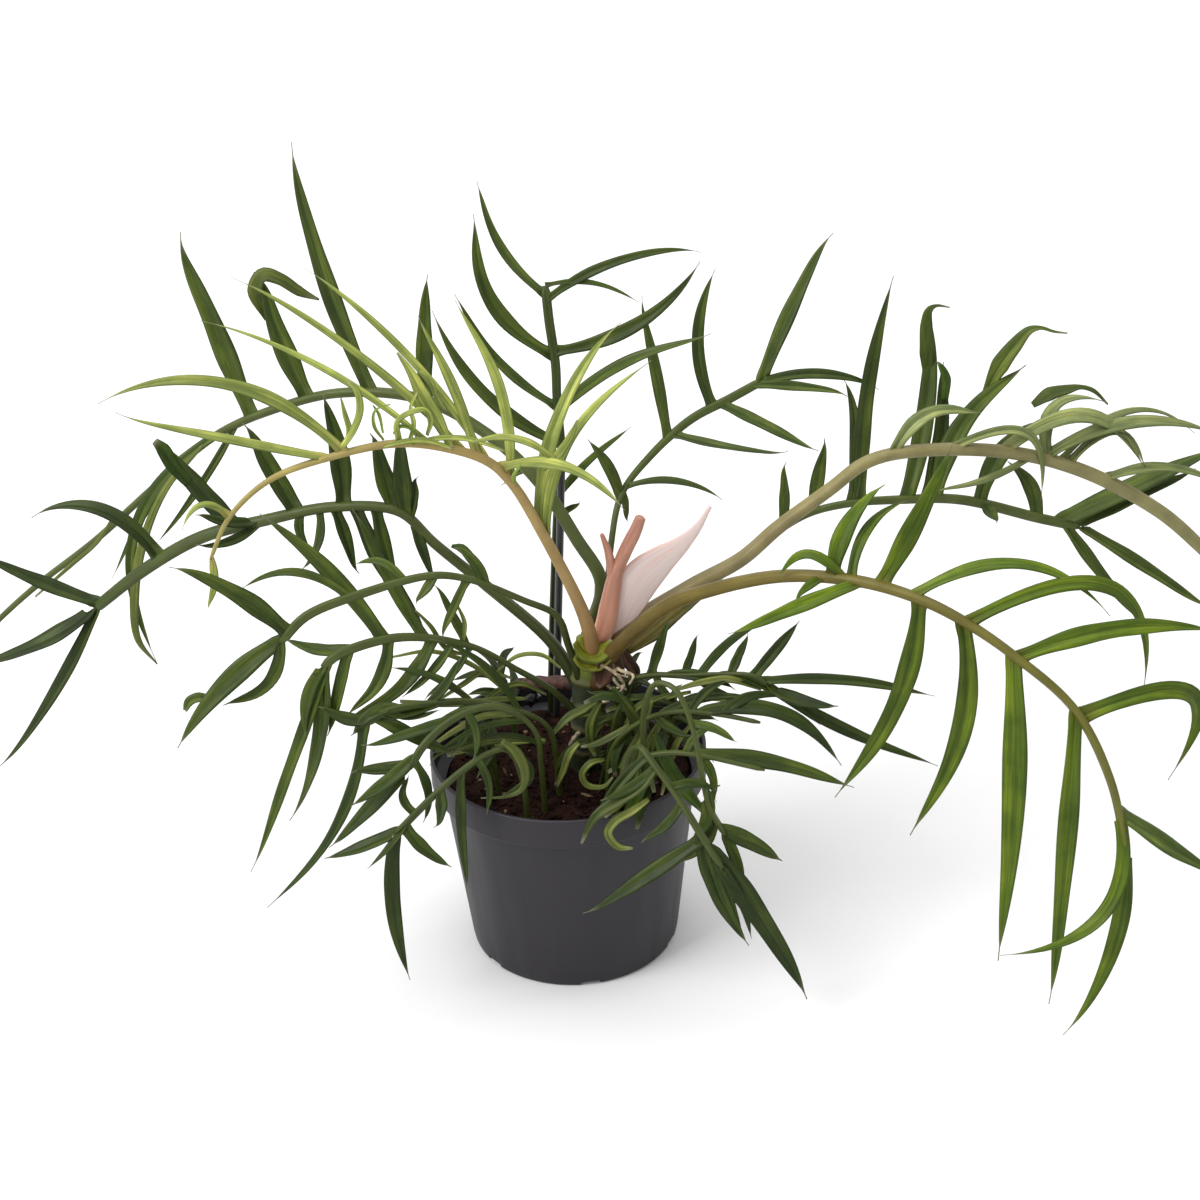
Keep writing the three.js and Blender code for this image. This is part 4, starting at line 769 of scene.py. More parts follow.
def add_strand(skin, knots, own, looks, slot=0):
    """A curled strip of a leaflet, by points on its middle line, its width at each, and its tone."""
    tone, *rows = knots
    rows = np.array(rows, float)
    line = Line(rows[:, :3])
    steps = int(np.clip(line.length / STRAND_STEP, *STRAND_RINGS))
    share = np.linspace(0, 1, steps + 1)
    spans = np.linalg.norm(np.diff(rows[:, :3], axis=0), axis=1)
    passed = np.concatenate([[0], np.cumsum(spans)]) / spans.sum()
    half = np.interp(share, passed, rows[:, 3]) / 2
    add_blade(skin, share, line.at(share), half, (0, 0), own, looks, tone, slot=slot)


def add_blade(skin, share, middle, half, turns, own, looks, tone=0, along_stalk=None, slot=0):
    """A thin grooved blade along a middle line, of this half width at each ring."""
    heading = unit(np.gradient(middle, share, axis=0))
    face = turned(square_to(heading, BLADE_FACING), heading, turns[0] + turns[1] * share)
    side = np.cross(heading, face)
    walked = share * np.linalg.norm(np.diff(middle, axis=0), axis=1).sum()
    if along_stalk is not None:
        along_stalk = along_stalk * (np.sign(side[0] @ along_stalk) or 1)
        own_way = smooth_step(walked / (FOOT_TURN[0] + FOOT_TURN[1] * half))[:, None]
        side = unit(side * own_way + along_stalk * (1 - own_way))
    cup = BLADE_CUP[0] + BLADE_CUP[1] * own()
    fold = cup * (np.sqrt(BLADE_ACROSS**2 + CUP_ROUND) - CUP_MIDDLE - CUP_FLAT * BLADE_ACROSS**4)
    thick = LEAF_THICKNESS * (1 - EDGE_THIN * BLADE_ACROSS**4) / 2
    rib = LEAF_RIB * np.exp(-((BLADE_ACROSS / LEAF_RIB_REACH) ** 2))
    fine = (FINEST + (1 - FINEST) * smooth_step(half / FULL_HALF))[:, None]
    top = half[:, None] * fold + fine * thick
    under = (half[:, None] * fold - fine * (thick + rib))[:, ::-1]
    spread = np.concatenate([BLADE_ACROSS, BLADE_ACROSS[::-1]])
    lift = np.concatenate([top, under], axis=1)
    rings = blade_rings(middle, side, half[:, None] * spread, face, lift)
    leaf = looks["leaf"] * (1 + BLADE_TONES * (own() - 0.5))
    leaf = leaf + tone * (looks["yellow"] if tone > 0 else looks["green"])
    blend = smooth_step(walked / WEB_LENGTH)[:, None, None] if along_stalk is not None else 1
    tone = looks["stalk_tip"] * (1 - blend) + leaf * blend
    marks = {
        "tone": np.maximum(tone, BLADE_DARKEST),
        # Its sign picks which half of the fold gets the painted shade in the leaf material
        "across": spread[None, :] * (1 if own() > 0.5 else -1),
        "under": np.repeat([0.0, 1.0], len(BLADE_ACROSS))[None, :],
        "run": share[:, None],
        "tint": own(),
    }
    skin.add(rings, marks, slot=slot)


def add_stalk(skin, line, girth, looks, spread):
    """A stalk with a shallow channel along its upper side, thicker where it leaves the stem."""
    steps = int(line.length / STALK_STEP)
    share = np.linspace(0, 1, steps + 1)
    share[0] = CLEARANCE / line.length
    radii = girth[0] + (girth[1] - girth[0]) * share
    radii = radii * (1 + STALK_SWELL * np.exp(-share * line.length / STALK_SWELL_REACH))
    radii[-1] *= STALK_TIP
    wing = spread * smooth_step((share - STALK_WING_FROM) / (1 - STALK_WING_FROM))
    angles = round_angles(STALK_SIDES)
    radii = radii[:, None] * (1 + wing[:, None] * np.sin(angles) ** 2)
    rings = tube_rings(line, share, radii, STALK_SIDES, STALK_GROOVE)
    blend = share[:, None, None]
    tone = looks["stalk"] * (1 - blend) + looks["stalk_tip"] * blend
    foot = (share * line.length)[:, None, None]
    tone = tone * (1 - np.exp(-foot / STALK_BLUSH) * looks["blush"])
    # Painted shade: the colour darkens towards the foot, where the crown shades it
    tone = tone * (1 - FOOT_SHADE * np.exp(-foot / FOOT_REACH))
    marks = {
        "tone": tone,
        "across": np.cos(angles)[None, :],
        "run": share[:, None] * line.length / 100,
        "tint": looks["tint"],
    }
    skin.add(rings, marks, slot=1)


def make_frond(row, seed):
    """One frond as one piece: its stalk and every leaflet and curl that it carries."""
    name, look, stalk_look, girth, stalk, leaflets = row
    colours = bpy.context.scene.plant_leaves
    leaf = linear(getattr(colours, look))
    stem = linear(getattr(colours, stalk_look)) * STALK_SHADES.get(name, 1)
    looks = {
        "leaf": leaf,
        "stalk": stem,
        "stalk_tip": (1 - STALK_TIP_LEAF) * stem + STALK_TIP_LEAF * leaf,
        "blush": np.array(BLUSH) * (stalk_look != "green"),
        "yellow": linear(colours.yellowing) - leaf,
        "green": leaf - linear(colours.greening),
        "tint": seed * GOLDEN_RATIO % 1,
    }
    skin = Skin()
    line = Line(stalk)
    draw = random_source(seed)
    own = random_source(seed + OWN_SEED_STEP)
    add_stalk(skin, line, girth, looks, STALK_WINGS.get(name, STALK_WING))
    for leaflet in leaflets:
        add_leaflet(skin, line, leaflet, draw, own, looks)
    for knots in CURLS.get(name, ()):
        add_strand(skin, knots, own, looks)
    skin.build(name + "_foliage", [leaf_material(), stalk_material()], name)


# Materials
def linear(colour):
    """A display colour as the light that it stands for."""
    colour = np.asarray(colour, float)
    return np.where(colour <= 0.04045, colour / 12.92, ((colour + 0.055) / 1.055) ** 2.4)


class Finish:
    """A material under construction, with short calls for the nodes that it needs."""

    def __init__(self, name):
        self.material = bpy.data.materials.new(name)
        self.material.use_nodes = True
        self.tree = self.material.node_tree
        self.shader = self.tree.nodes["Principled BSDF"]
        self.place = self.tree.nodes.new("ShaderNodeTexCoord").outputs["Object"]

    def put(self, socket, value):
        """Links an output to a socket, or sets a plain value on it."""
        if isinstance(value, bpy.types.NodeSocket):
            self.tree.links.new(value, socket)
        elif socket.type == "RGBA":
            socket.default_value = (*value, 1)
        else:
            socket.default_value = value

    def set(self, **values):
        """Sets the shader's own sockets, named with underscores."""
        for name, value in values.items():
            self.put(self.shader.inputs[name.replace("_", " ")], value)

    def mark(self, name, output="Fac"):
        """What the mesh says at each point under this name."""
        node = self.tree.nodes.new("ShaderNodeAttribute")
        node.attribute_name = name
        return node.outputs[output]

    def noise(self, scale, detail=4.0, roughness=0.55, vector=None):
        """Cloudy noise, at the place or along another vector."""
        node = self.tree.nodes.new("ShaderNodeTexNoise")
        node.inputs["Scale"].default_value = scale
        node.inputs["Detail"].default_value = detail
        node.inputs["Roughness"].default_value = roughness
        self.put(node.inputs["Vector"], vector or self.place)
        return node.outputs["Fac"]

    def scaled(self, x, y, z):
        """The place, stretched along its axes."""
        node = self.tree.nodes.new("ShaderNodeVectorMath")
        node.operation = "MULTIPLY"
        self.put(node.inputs[0], self.place)
        node.inputs[1].default_value = (x, y, z)
        return node.outputs["Vector"]

    def streaks(self, across, run, third):
        """Noise drawn out along a blade or a stalk, from what the mesh says of each point."""
        node = self.tree.nodes.new("ShaderNodeCombineXYZ")
        marks = (("across", across), ("run", run))
        for socket, (mark, scale) in zip(node.inputs, marks):
            self.put(socket, self.math("MULTIPLY", self.mark(mark), scale))
        self.put(node.inputs[2], third)
        return self.noise(1.0, 3, vector=node.outputs["Vector"])

    def math(self, operation, a, b=0.0):
        """One sum, product or other simple result of two values."""
        node = self.tree.nodes.new("ShaderNodeMath")
        node.operation = operation
        self.put(node.inputs[0], a)
        self.put(node.inputs[1], b)
        return node.outputs["Value"]

    def fit(self, value, low, high, to_low=0.0, to_high=1.0):
        """Maps a range of values smoothly to another, and holds it there."""
        node = self.tree.nodes.new("ShaderNodeMapRange")
        node.interpolation_type = "SMOOTHSTEP"
        for socket, number in zip(node.inputs, (value, low, high, to_low, to_high)):
            self.put(socket, number)
        return node.outputs["Result"]

    def mix(self, share, a, b, blend="MIX"):
        """One colour, blended into another by a share."""
        node = self.tree.nodes.new("ShaderNodeMix")
        node.data_type = "RGBA"
        node.blend_type = blend
        self.put(node.inputs[0], share)
        self.put(node.inputs[6], a)
        self.put(node.inputs[7], b)
        return node.outputs[2]

    def tint(self, colour, value, low, high, most, towards, blend="MULTIPLY"):
        """A colour, changed by another one as a value goes from low to high."""
        return self.mix(self.fit(value, low, high, 0.0, most), colour, towards, blend)

    def bump(self, height, strength, depth):
        """A fine relief that turns the light, from a height."""
        node = self.tree.nodes.new("ShaderNodeBump")
        node.inputs["Strength"].default_value = strength
        node.inputs["Distance"].default_value = depth
        self.put(node.inputs["Height"], height)
        return node.outputs["Normal"]


def shared(name):
    """Turns a function that fills a finish into one that gives its material, made only once."""

    def wrap(fill):
        kept = []

        def get():
            if not kept:
                finish = Finish(name)
                fill(finish)
                kept.append(finish.material)
            return kept[0]

        return get

    return wrap


@shared("Leaf blade")
def leaf_material(finish):
    """Green blades, streaked, with painted shade in the groove and on one half of the fold, and darker
    edges.
    """
    tone = finish.mark("tone", "Color")
    across = finish.mark("across")
    out = finish.math("ABSOLUTE", across)
    under = finish.mark("under")
    run = finish.mark("run")
    streaks = finish.streaks(5.0, 4.0, finish.math("MULTIPLY", finish.mark("tint"), 90.0))
    clouds = finish.noise(50.0, 3)
    colour = finish.tint(tone, clouds, 0.35, 0.65, 0.8, (0.5, 0.58, 0.5))
    colour = finish.tint(colour, streaks, 0.42, 0.68, 0.8, (1.9, 1.75, 1.5))
    # Painted shade: one half of the folded blade is darker, as if turned from the light
    colour = finish.tint(colour, across, -0.12, 0.12, 0.8, (0.6, 0.66, 0.66))
    rib = finish.fit(out, 0.0, 0.16, 1.0, 0.0)
    # Painted shade in the groove down the middle of the blade
    colour = finish.mix(finish.math("MULTIPLY", rib, 0.45), colour, (0.62, 0.68, 0.55), "MULTIPLY")
    colour = finish.tint(colour, out, 0.66, 1.0, 0.7, (0.5, 0.56, 0.5))
    colour = finish.mix(finish.math("MULTIPLY", under, 0.3), colour, (0.17, 0.19, 0.11))
    colour = finish.tint(colour, run, 0.86, 1.0, 0.5, (0.2, 0.19, 0.13), "MIX")
    height = finish.math("ADD", finish.math("MULTIPLY", rib, -0.6), finish.math("MULTIPLY", streaks, 0.4))
    finish.set(
        Base_Color=colour,
        Roughness=finish.fit(clouds, 0.3, 0.7, 0.42, 0.56),
        Normal=finish.bump(height, 0.35, 0.0004),
        Specular_IOR_Level=0.2,
    )


@shared("Leaf stalk")
def stalk_material(finish):
    """Smooth stalks with faint streaks."""
    tone = finish.mark("tone", "Color")
    clouds = finish.noise(90.0, 4)
    streaks = finish.streaks(3.0, 7.0, finish.math("MULTIPLY", finish.mark("tint"), 60.0))
    colour = finish.tint(tone, clouds, 0.3, 0.7, 0.5, (0.55, 0.52, 0.5))
    colour = finish.tint(colour, streaks, 0.4, 0.7, 0.5, (1.35, 1.3, 1.15))
    finish.set(
        Base_Color=colour,
        Roughness=finish.fit(clouds, 0.3, 0.7, 0.42, 0.56),
        Normal=finish.bump(finish.math("ADD", clouds, streaks), 0.2, 0.0004),
        Specular_IOR_Level=0.3,
    )


@shared("Moulded pot")
def pot_material(finish):
    """Dull moulded plastic with soft flow marks."""
    colour = linear(bpy.context.scene.plant_pot.colour)
    clouds = finish.noise(14.0, 3)
    flow = finish.noise(1.0, 3, vector=finish.scaled(90, 90, 6))
    grain = finish.noise(2600.0, 2)
    shade = finish.mix(finish.fit(flow, 0.35, 0.7, 0.0, 0.35), colour * 0.88, colour * 1.2)
    shade = finish.tint(shade, clouds, 0.35, 0.7, 0.25, colour * 0.8, "MIX")
    finish.set(
        Base_Color=shade,
        Roughness=finish.fit(flow, 0.3, 0.7, 0.42, 0.55),
        Normal=finish.bump(grain, 0.12, 0.0002),
        Specular_IOR_Level=0.35,
    )


@shared("Potting mix")
def soil_material(finish):
    """Dark crumbled mix, with a few pale flecks; its near-black colours are partly its own and partly
    painted shade inside the pot.
    """
    coarse = finish.noise(160.0, 6, 0.7)
    fine = finish.noise(900.0, 4, 0.7)
    tint = finish.mark("tint")
    # Near black: the mix's own dark colour, darkened further with painted shade for the shade inside the
    # pot
    colour = finish.mix(finish.fit(coarse, 0.35, 0.62), (0.003, 0.0016, 0.0013), (0.022, 0.008, 0.005))
    colour = finish.tint(colour, fine, 0.52, 0.7, 0.8, (0.06, 0.022, 0.014), "MIX")
    colour = finish.tint(colour, tint, 0.9, 0.96, 0.7, (0.32, 0.22, 0.13), "MIX")
    height = finish.math("ADD", coarse, finish.math("MULTIPLY", fine, 0.5))
    finish.set(
        Base_Color=colour,
        Roughness=0.95,
        Normal=finish.bump(height, 0.8, 0.0015),
        Specular_IOR_Level=0.1,
    )


@shared("Stem skin")
def stem_material(finish):
    """Dark green skin, paler at the rings and yellow at the young top."""
    clouds = finish.noise(140.0, 5, 0.65)
    ring = finish.mark("tint")
    young = finish.fit(finish.mark("run"), 0.74, 0.9)
    colour = finish.mix(finish.fit(clouds, 0.35, 0.68), (0.005, 0.009, 0.003), (0.026, 0.036, 0.01))
    colour = finish.mix(young, colour, (0.14, 0.17, 0.01))
    colour = finish.mix(finish.math("MULTIPLY", ring, 0.7), colour, (0.11, 0.1, 0.03))
    finish.set(
        Base_Color=colour,
        Roughness=finish.fit(clouds, 0.3, 0.7, 0.42, 0.65),
        Normal=finish.bump(clouds, 0.5, 0.001),
    )


@shared("Old bark")
def old_stem_material(finish):
    """Dry reddish bark, with a dark shiny knob."""
    clouds = finish.noise(260.0, 5, 0.7)
    knob = finish.mark("tint")
    colour = finish.mix(finish.fit(clouds, 0.36, 0.66), (0.012, 0.004, 0.003), (0.11, 0.04, 0.028))
    finish.set(
        Base_Color=finish.mix(knob, colour, (0.004, 0.004, 0.004)),
        Roughness=finish.fit(knob, 0.0, 1.0, 0.7, 0.25),
        Normal=finish.bump(clouds, 0.7, 0.001),
    )


@shared("Aerial root")
def root_material(finish):
    """Pale brown skin of the aerial roots."""
    clouds = finish.noise(320.0, 4, 0.6)
    colour = finish.mix(finish.fit(clouds, 0.35, 0.65), (0.16, 0.11, 0.06), (0.5, 0.42, 0.27))
    finish.set(Base_Color=colour, Roughness=0.75, Normal=finish.bump(clouds, 0.5, 0.0006))


@shared("Coated stake")
def stake_material(finish):
    """Black coating with faint marks along it."""
    flow = finish.noise(1.0, 3, vector=finish.scaled(500, 500, 30))
    colour = finish.mix(finish.fit(flow, 0.35, 0.7), (0.008, 0.009, 0.009), (0.026, 0.028, 0.029))
    finish.set(
        Base_Color=colour,
        Roughness=finish.fit(flow, 0.3, 0.7, 0.3, 0.45),
        Normal=finish.bump(flow, 0.25, 0.0003),
    )


@shared("Pale sheath")
def cataphyll_material(finish):
    """Thin pale pink skin, rosier at its foot and its rim."""
    pale = linear(bpy.context.scene.plant_growth.sheath_colour)
    run = finish.mark("run")
    streaks = finish.streaks(9.0, 2.5, 3.0)
    rosy = finish.mix(finish.fit(streaks, 0.35, 0.7), pale, pale * np.array([1.0, 0.84, 0.8]))
    foot = finish.mix(finish.fit(run, 0.0, 0.3, 0.7, 0.0), rosy, linear((0.86, 0.6, 0.5)))
    rim = finish.fit(finish.math("ABSOLUTE", finish.mark("across")), 0.8, 1.0, 0.0, 0.5)
    finish.set(
        Base_Color=finish.mix(rim, foot, linear((0.9, 0.68, 0.62))),
        Roughness=0.42,
        Normal=finish.bump(streaks, 0.25, 0.0005),
        Subsurface_Weight=0.15,
        Subsurface_Radius=(0.004, 0.002, 0.0015),
    )


@shared("Newest leaf")
def new_leaf_material(finish):
    """Salmon skin, paler at its foot."""
    colour = linear(bpy.context.scene.plant_growth.new_leaf_colour)
    run = finish.mark("run")
    streaks = finish.streaks(4.0, 3.0, 8.0)
    shade = finish.mix(finish.fit(streaks, 0.35, 0.7), colour * 0.8, colour * 1.25)
    shade = finish.mix(finish.fit(run, 0.0, 0.45, 0.8, 0.0), shade, linear((0.88, 0.62, 0.5)))
    finish.set(Base_Color=shade, Roughness=0.4, Normal=finish.bump(streaks, 0.3, 0.0005))


@shared("Pale floor")
def floor_material(finish):
    """Plain pale floor."""
    colour = linear(bpy.context.scene.plant_stage.floor_colour)
    finish.set(Base_Color=colour, Roughness=0.9, Specular_IOR_Level=0.1)


# Settings
def colour_setting(name, description, default):
    """A colour that a user can change."""
    return FloatVectorProperty(
        name=name, description=description, subtype="COLOR_GAMMA", min=0, max=1, default=default
    )


def size_setting(name, description, default):
    """A length in metres that a user can change."""
    return FloatProperty(name=name, description=description, default=default, unit="LENGTH")


class PotSettings(bpy.types.PropertyGroup):
    """The nursery pot."""

    height: size_setting("Height", "Height of the pot", 0.096)
    base_radius: size_setting("Base radius", "Radius of the pot's underside", 0.046)
    shoulder_radius: size_setting("Shoulder radius", "Radius just under the lip", 0.0553)
    lip_radius: size_setting("Lip radius", "Outer radius of the lip", 0.06)
    lip_height: size_setting("Lip height", "Height of the lip", 0.014)
    wall: size_setting("Wall", "Thickness of the wall", 0.0016)
    floor: size_setting("Floor", "Thickness of the bottom", 0.0045)
    slots: IntProperty(name="Slots", description="Number of drain slots in the bottom edge", default=6)
    colour: colour_setting("Colour", "Colour of the plastic", (0.13, 0.118, 0.14))


class LeafSettings(bpy.types.PropertyGroup):
    """The colours of leaves and stalks."""

    chartreuse: colour_setting("Chartreuse leaf", "Leaflets of the young frond", (0.53, 0.56, 0.28))
    dark: colour_setting("Dark leaf", "Leaflets of the oldest fronds", (0.25, 0.3, 0.09))
    mid: colour_setting("Mid leaf", "Leaflets of the middle fronds and tufts", (0.175, 0.225, 0.04))
    olive: colour_setting("Olive leaf", "Leaflets of the top right frond", (0.44, 0.47, 0.29))
    bright: colour_setting("Bright leaf", "Leaflets of the front right frond", (0.3, 0.37, 0.04))
    yellowing: colour_setting(
        "Yellowing", "What a leaflet with a tone above zero turns towards", (0.64, 0.65, 0.34)
    )
    greening: colour_setting(
        "Greening", "What a leaflet with a tone below zero turns towards", (0.33, 0.5, 0.06)
    )
    peach: colour_setting("Peach stalk", "Stalk of the young frond", (0.63, 0.51, 0.33))
    khaki: colour_setting("Khaki stalk", "Stalk of the top right frond", (0.5, 0.45, 0.3))
    brown: colour_setting("Brown stalk", "Stalk of the front right frond", (0.4, 0.33, 0.14))
    green: colour_setting("Green stalk", "Stalks of all other fronds", (0.27, 0.31, 0.12))


class GrowthSettings(bpy.types.PropertyGroup):
    """The newest leaf and its sheath."""

    sheath_colour: colour_setting("Sheath", "Colour of the pale sheath", (0.815, 0.76, 0.745))
    new_leaf_colour: colour_setting("New leaf", "Colour of the rolled new leaf", (0.66, 0.46, 0.38))


class SoilSettings(bpy.types.PropertyGroup):
    """The potting mix."""

    level: size_setting("Level", "Height of the surface", 0.084)
    crumbs: IntProperty(name="Crumbs", description="Number of loose crumbs", default=700)
    chips: IntProperty(name="Chips", description="Number of bark chips", default=60)
    seed: IntProperty(name="Seed", description="Places the crumbs", default=7)


class StageSettings(bpy.types.PropertyGroup):
    """The floor and the light."""

    floor_colour: colour_setting("Floor", "Colour of the floor", (0.85, 0.85, 0.85))
    key_power: FloatProperty(
        name="Key light", description="Power of the key light", default=200, unit="POWER"
    )
    world_strength: FloatProperty(
        name="Surround", description="Strength of the light all round", default=0.92
    )


# Pieces
class PLANT_OT_stage(bpy.types.Operator):
    """Puts up the floor, the light and the camera."""

    bl_idname = "plant.stage"
    bl_label = "Stage"

    def execute(self, context):
        scene = context.scene
        settings = scene.plant_stage
        mesh = bpy.data.meshes.new("floor")
        corners = [(x * FLOOR_REACH, y * FLOOR_REACH, 0) for x, y in ((-1, -1), (1, -1), (1, 1), (-1, 1))]
        mesh.from_pydata(corners, [], [(0, 1, 2, 3)])
        mesh.materials.append(floor_material())
        floor = bpy.data.objects.new("floor", mesh)
        scene.collection.objects.link(floor)

        world = bpy.data.worlds.new("Surround")
        world.use_nodes = True
        back = world.node_tree.nodes["Background"]
        back.inputs["Color"].default_value = (1, 1, 1, 1)
        back.inputs["Strength"].default_value = settings.world_strength
        scene.world = world
        scene.view_settings.view_transform = "Standard"

        add_light("key", KEY_PLACE, KEY_SIZE, settings.key_power)
        add_light("top", TOP_PLACE, TOP_SIZE, settings.key_power * TOP_SHARE)

        down = math.radians(CAMERA_LOOKS_DOWN)
        roll = math.radians(CAMERA_ROLL)
        level = Vector((0, math.sin(down), math.cos(down)))
        right = Vector((math.cos(roll), 0, 0)) + level * math.sin(roll)
        up = level * math.cos(roll) - Vector((math.sin(roll), 0, 0))
        back = Vector((0, -math.cos(down), math.sin(down)))
        camera = bpy.data.objects.new("camera", bpy.data.cameras.new("camera"))
        camera.data.lens = CAMERA_LENS
        camera.data.sensor_width = SENSOR
        turn = Matrix((right, up, back)).transposed().to_4x4()
        camera.matrix_world = Matrix.Translation(Vector(CAMERA_PLACE) * MM) @ turn
        scene.collection.objects.link(camera)
        scene.camera = camera
        return {"FINISHED"}


def add_light(name, place, size, power):
    """A soft square light that looks at the plant."""
    lamp = bpy.data.lights.new(name, "AREA")
    lamp.size = size
    lamp.energy = power
    light = bpy.data.objects.new(name, lamp)
    light.location = place
    aim = Vector(LIGHTS_LOOK_AT) - Vector(place)
    light.rotation_euler = aim.to_track_quat("-Z", "Y").to_euler()
    bpy.context.scene.collection.objects.link(light)


def ring_at(radius, height, angles):
    """A level ring of points round the pot's middle, of one height or a height for each."""
    heights = np.broadcast_to(height, angles.shape)
    return np.stack([radius * np.cos(angles), radius * np.sin(angles), heights], -1)


def arc(middle, radius, start, end):
    """Points on part of a round edge, from one angle to another in degrees."""
    angles = np.radians(np.linspace(start, end, ARC_STEPS))
    return [(middle[0] + radius * math.cos(a), middle[1] + radius * math.sin(a)) for a in angles]


def turn_between(angles, middle):
    """The turn from one angle to others, between minus and plus half a circle."""
    return (angles - middle + TURN / 2) % TURN - TURN / 2


class PLANT_OT_pot(bpy.types.Operator):
    """Turns the nursery pot, with its lip and the drain slots in its bottom edge."""

    bl_idname = "plant.pot"
    bl_label = "Pot"

    def execute(self, context):
        pot = context.scene.plant_pot
        profile = self.make_profile(pot)
        base = pot.base_radius / MM
        half = math.asin(SLOT_HALF_WIDTH / base)
        middles = [(i + SLOT_TURN) * TURN / pot.slots for i in range(pot.slots)]
        angles = self.make_angles(middles, half)
        away = np.min([np.abs(turn_between(angles, middle)) for middle in middles], axis=0)
        lift = np.where(away < half + SLOT_EDGE / 2, SLOT_HEIGHT, 0)
        rings = []
        for radius, z in profile:
            in_slot = base - SLOT_DEPTH < radius and z < SLOT_HEIGHT
            heights = np.maximum(z, lift) if in_slot else z
            rings.append(ring_at(radius, heights, angles))
        skin = Skin()
        skin.add(rings, {})
        piece = skin.build("pot_shell", [pot_material()], "pot")
        piece.data.set_sharp_from_angle(angle=math.radians(POT_CREASE))
        return {"FINISHED"}

    def make_profile(self, pot):
        """The pot's outline from the middle of its underside, round its lip, to its inner floor."""
        height, base, shoulder, lip = (
            value / MM for value in (pot.height, pot.base_radius, pot.shoulder_radius, pot.lip_radius)
        )
        lip_height, wall, floor = (value / MM for value in (pot.lip_height, pot.wall, pot.floor))
        foot = height - lip_height
        inner = lip - wall
        slot = base - SLOT_DEPTH
        profile = [(POT_MIDDLE, 0), (base / 2, 0), (slot, 0), (slot + 0.1, 0)]
        profile += arc((base - POT_FOOT_ROUND, POT_FOOT_ROUND), POT_FOOT_ROUND, -90, -8)
        profile += [(base + (shoulder - base) * s, foot * s) for s in POT_SIDE_RINGS]
        profile += [(shoulder, foot - POT_SHOULDER[0]), (shoulder + POT_SHOULDER[1], foot)]
        profile += arc((lip - POT_LIP_ROUND, foot + POT_LIP_START), POT_LIP_ROUND, -60, 0)
        profile += [(lip, foot + lip_height / 2)]
        profile += arc((lip - POT_RIM_ROUND, height - POT_RIM_ROUND), POT_RIM_ROUND, 0, 90)
        profile += arc((inner + POT_INNER_ROUND, height - POT_INNER_ROUND), POT_INNER_ROUND, 90, 180)
        profile += [(inner, foot + POT_BEND), (shoulder - wall, foot - POT_BEND)]
        profile += [(base - wall, floor + POT_BEND), (base - wall - POT_BEND, floor)]
        return profile + [(POT_MIDDLE, floor)]

    def make_angles(self, middles, half):
        """Where the pot's points stand round it, closer together at the edges of its slots."""
        angles = set(np.round(round_angles(POT_SIDES), 5))
        edges = (-half - SLOT_EDGE, -half, -half / 2, 0, half / 2, half, half + SLOT_EDGE)
        for middle in middles:
            angles = {a for a in angles if abs(turn_between(a, middle)) > half + SLOT_CLEAR}
            angles |= {(middle + edge) % TURN for edge in edges}
        return np.array(sorted(angles))


def lump(middle, size, draw):
    """A small rough lump as rings of points."""
    turn = draw() * LUMP_TILT
    axis = Vector((draw() - 0.5, draw() - 0.5, draw() - 0.5)).normalized()
    tilt = Matrix.Rotation(turn, 3, axis)
    rings = []
    for i in range(LUMP_RINGS):
        polar = math.pi * (i + LUMP_END) / (LUMP_RINGS - 1 + 2 * LUMP_END)
        wide = math.sin(polar)
        ring = []
        for j in range(LUMP_SIDES):
            turn = TURN * j / LUMP_SIDES
            spot = Vector((wide * math.cos(turn), wide * math.sin(turn), math.cos(polar)))
            rough = LUMP_ROUGH[0] + LUMP_ROUGH[1] * noise.noise(spot * LUMP_GRAIN + Vector(middle))
            spot = Vector((spot.x * size[0], spot.y * size[1], spot.z * size[2])) * rough
            ring.append(Vector(middle) + tilt @ spot)
        rings.append(ring)
    return np.array(rings)


def ground(x, y):
    """The height of the soil's surface in millimetres: slow and quick waves, and clods."""
    slow = math.sin(0.21 * x + 0.6) * math.cos(0.17 * y - 0.4)
    quick = math.sin(0.63 * x - 0.31 * y) * math.cos(0.52 * y + 0.27 * x)
    clods = noise.fractal(Vector((x * CLOD_SCALE, y * CLOD_SCALE, CLOD_PLANE)), *CLOD_NOISE)
    level = bpy.context.scene.plant_soil.level / MM
    waves = SLOW_SHARE * slow + (1 - SLOW_SHARE) * quick
    return level + SOIL_WAVE * waves + SOIL_CLODS * clods - SOIL_SINK


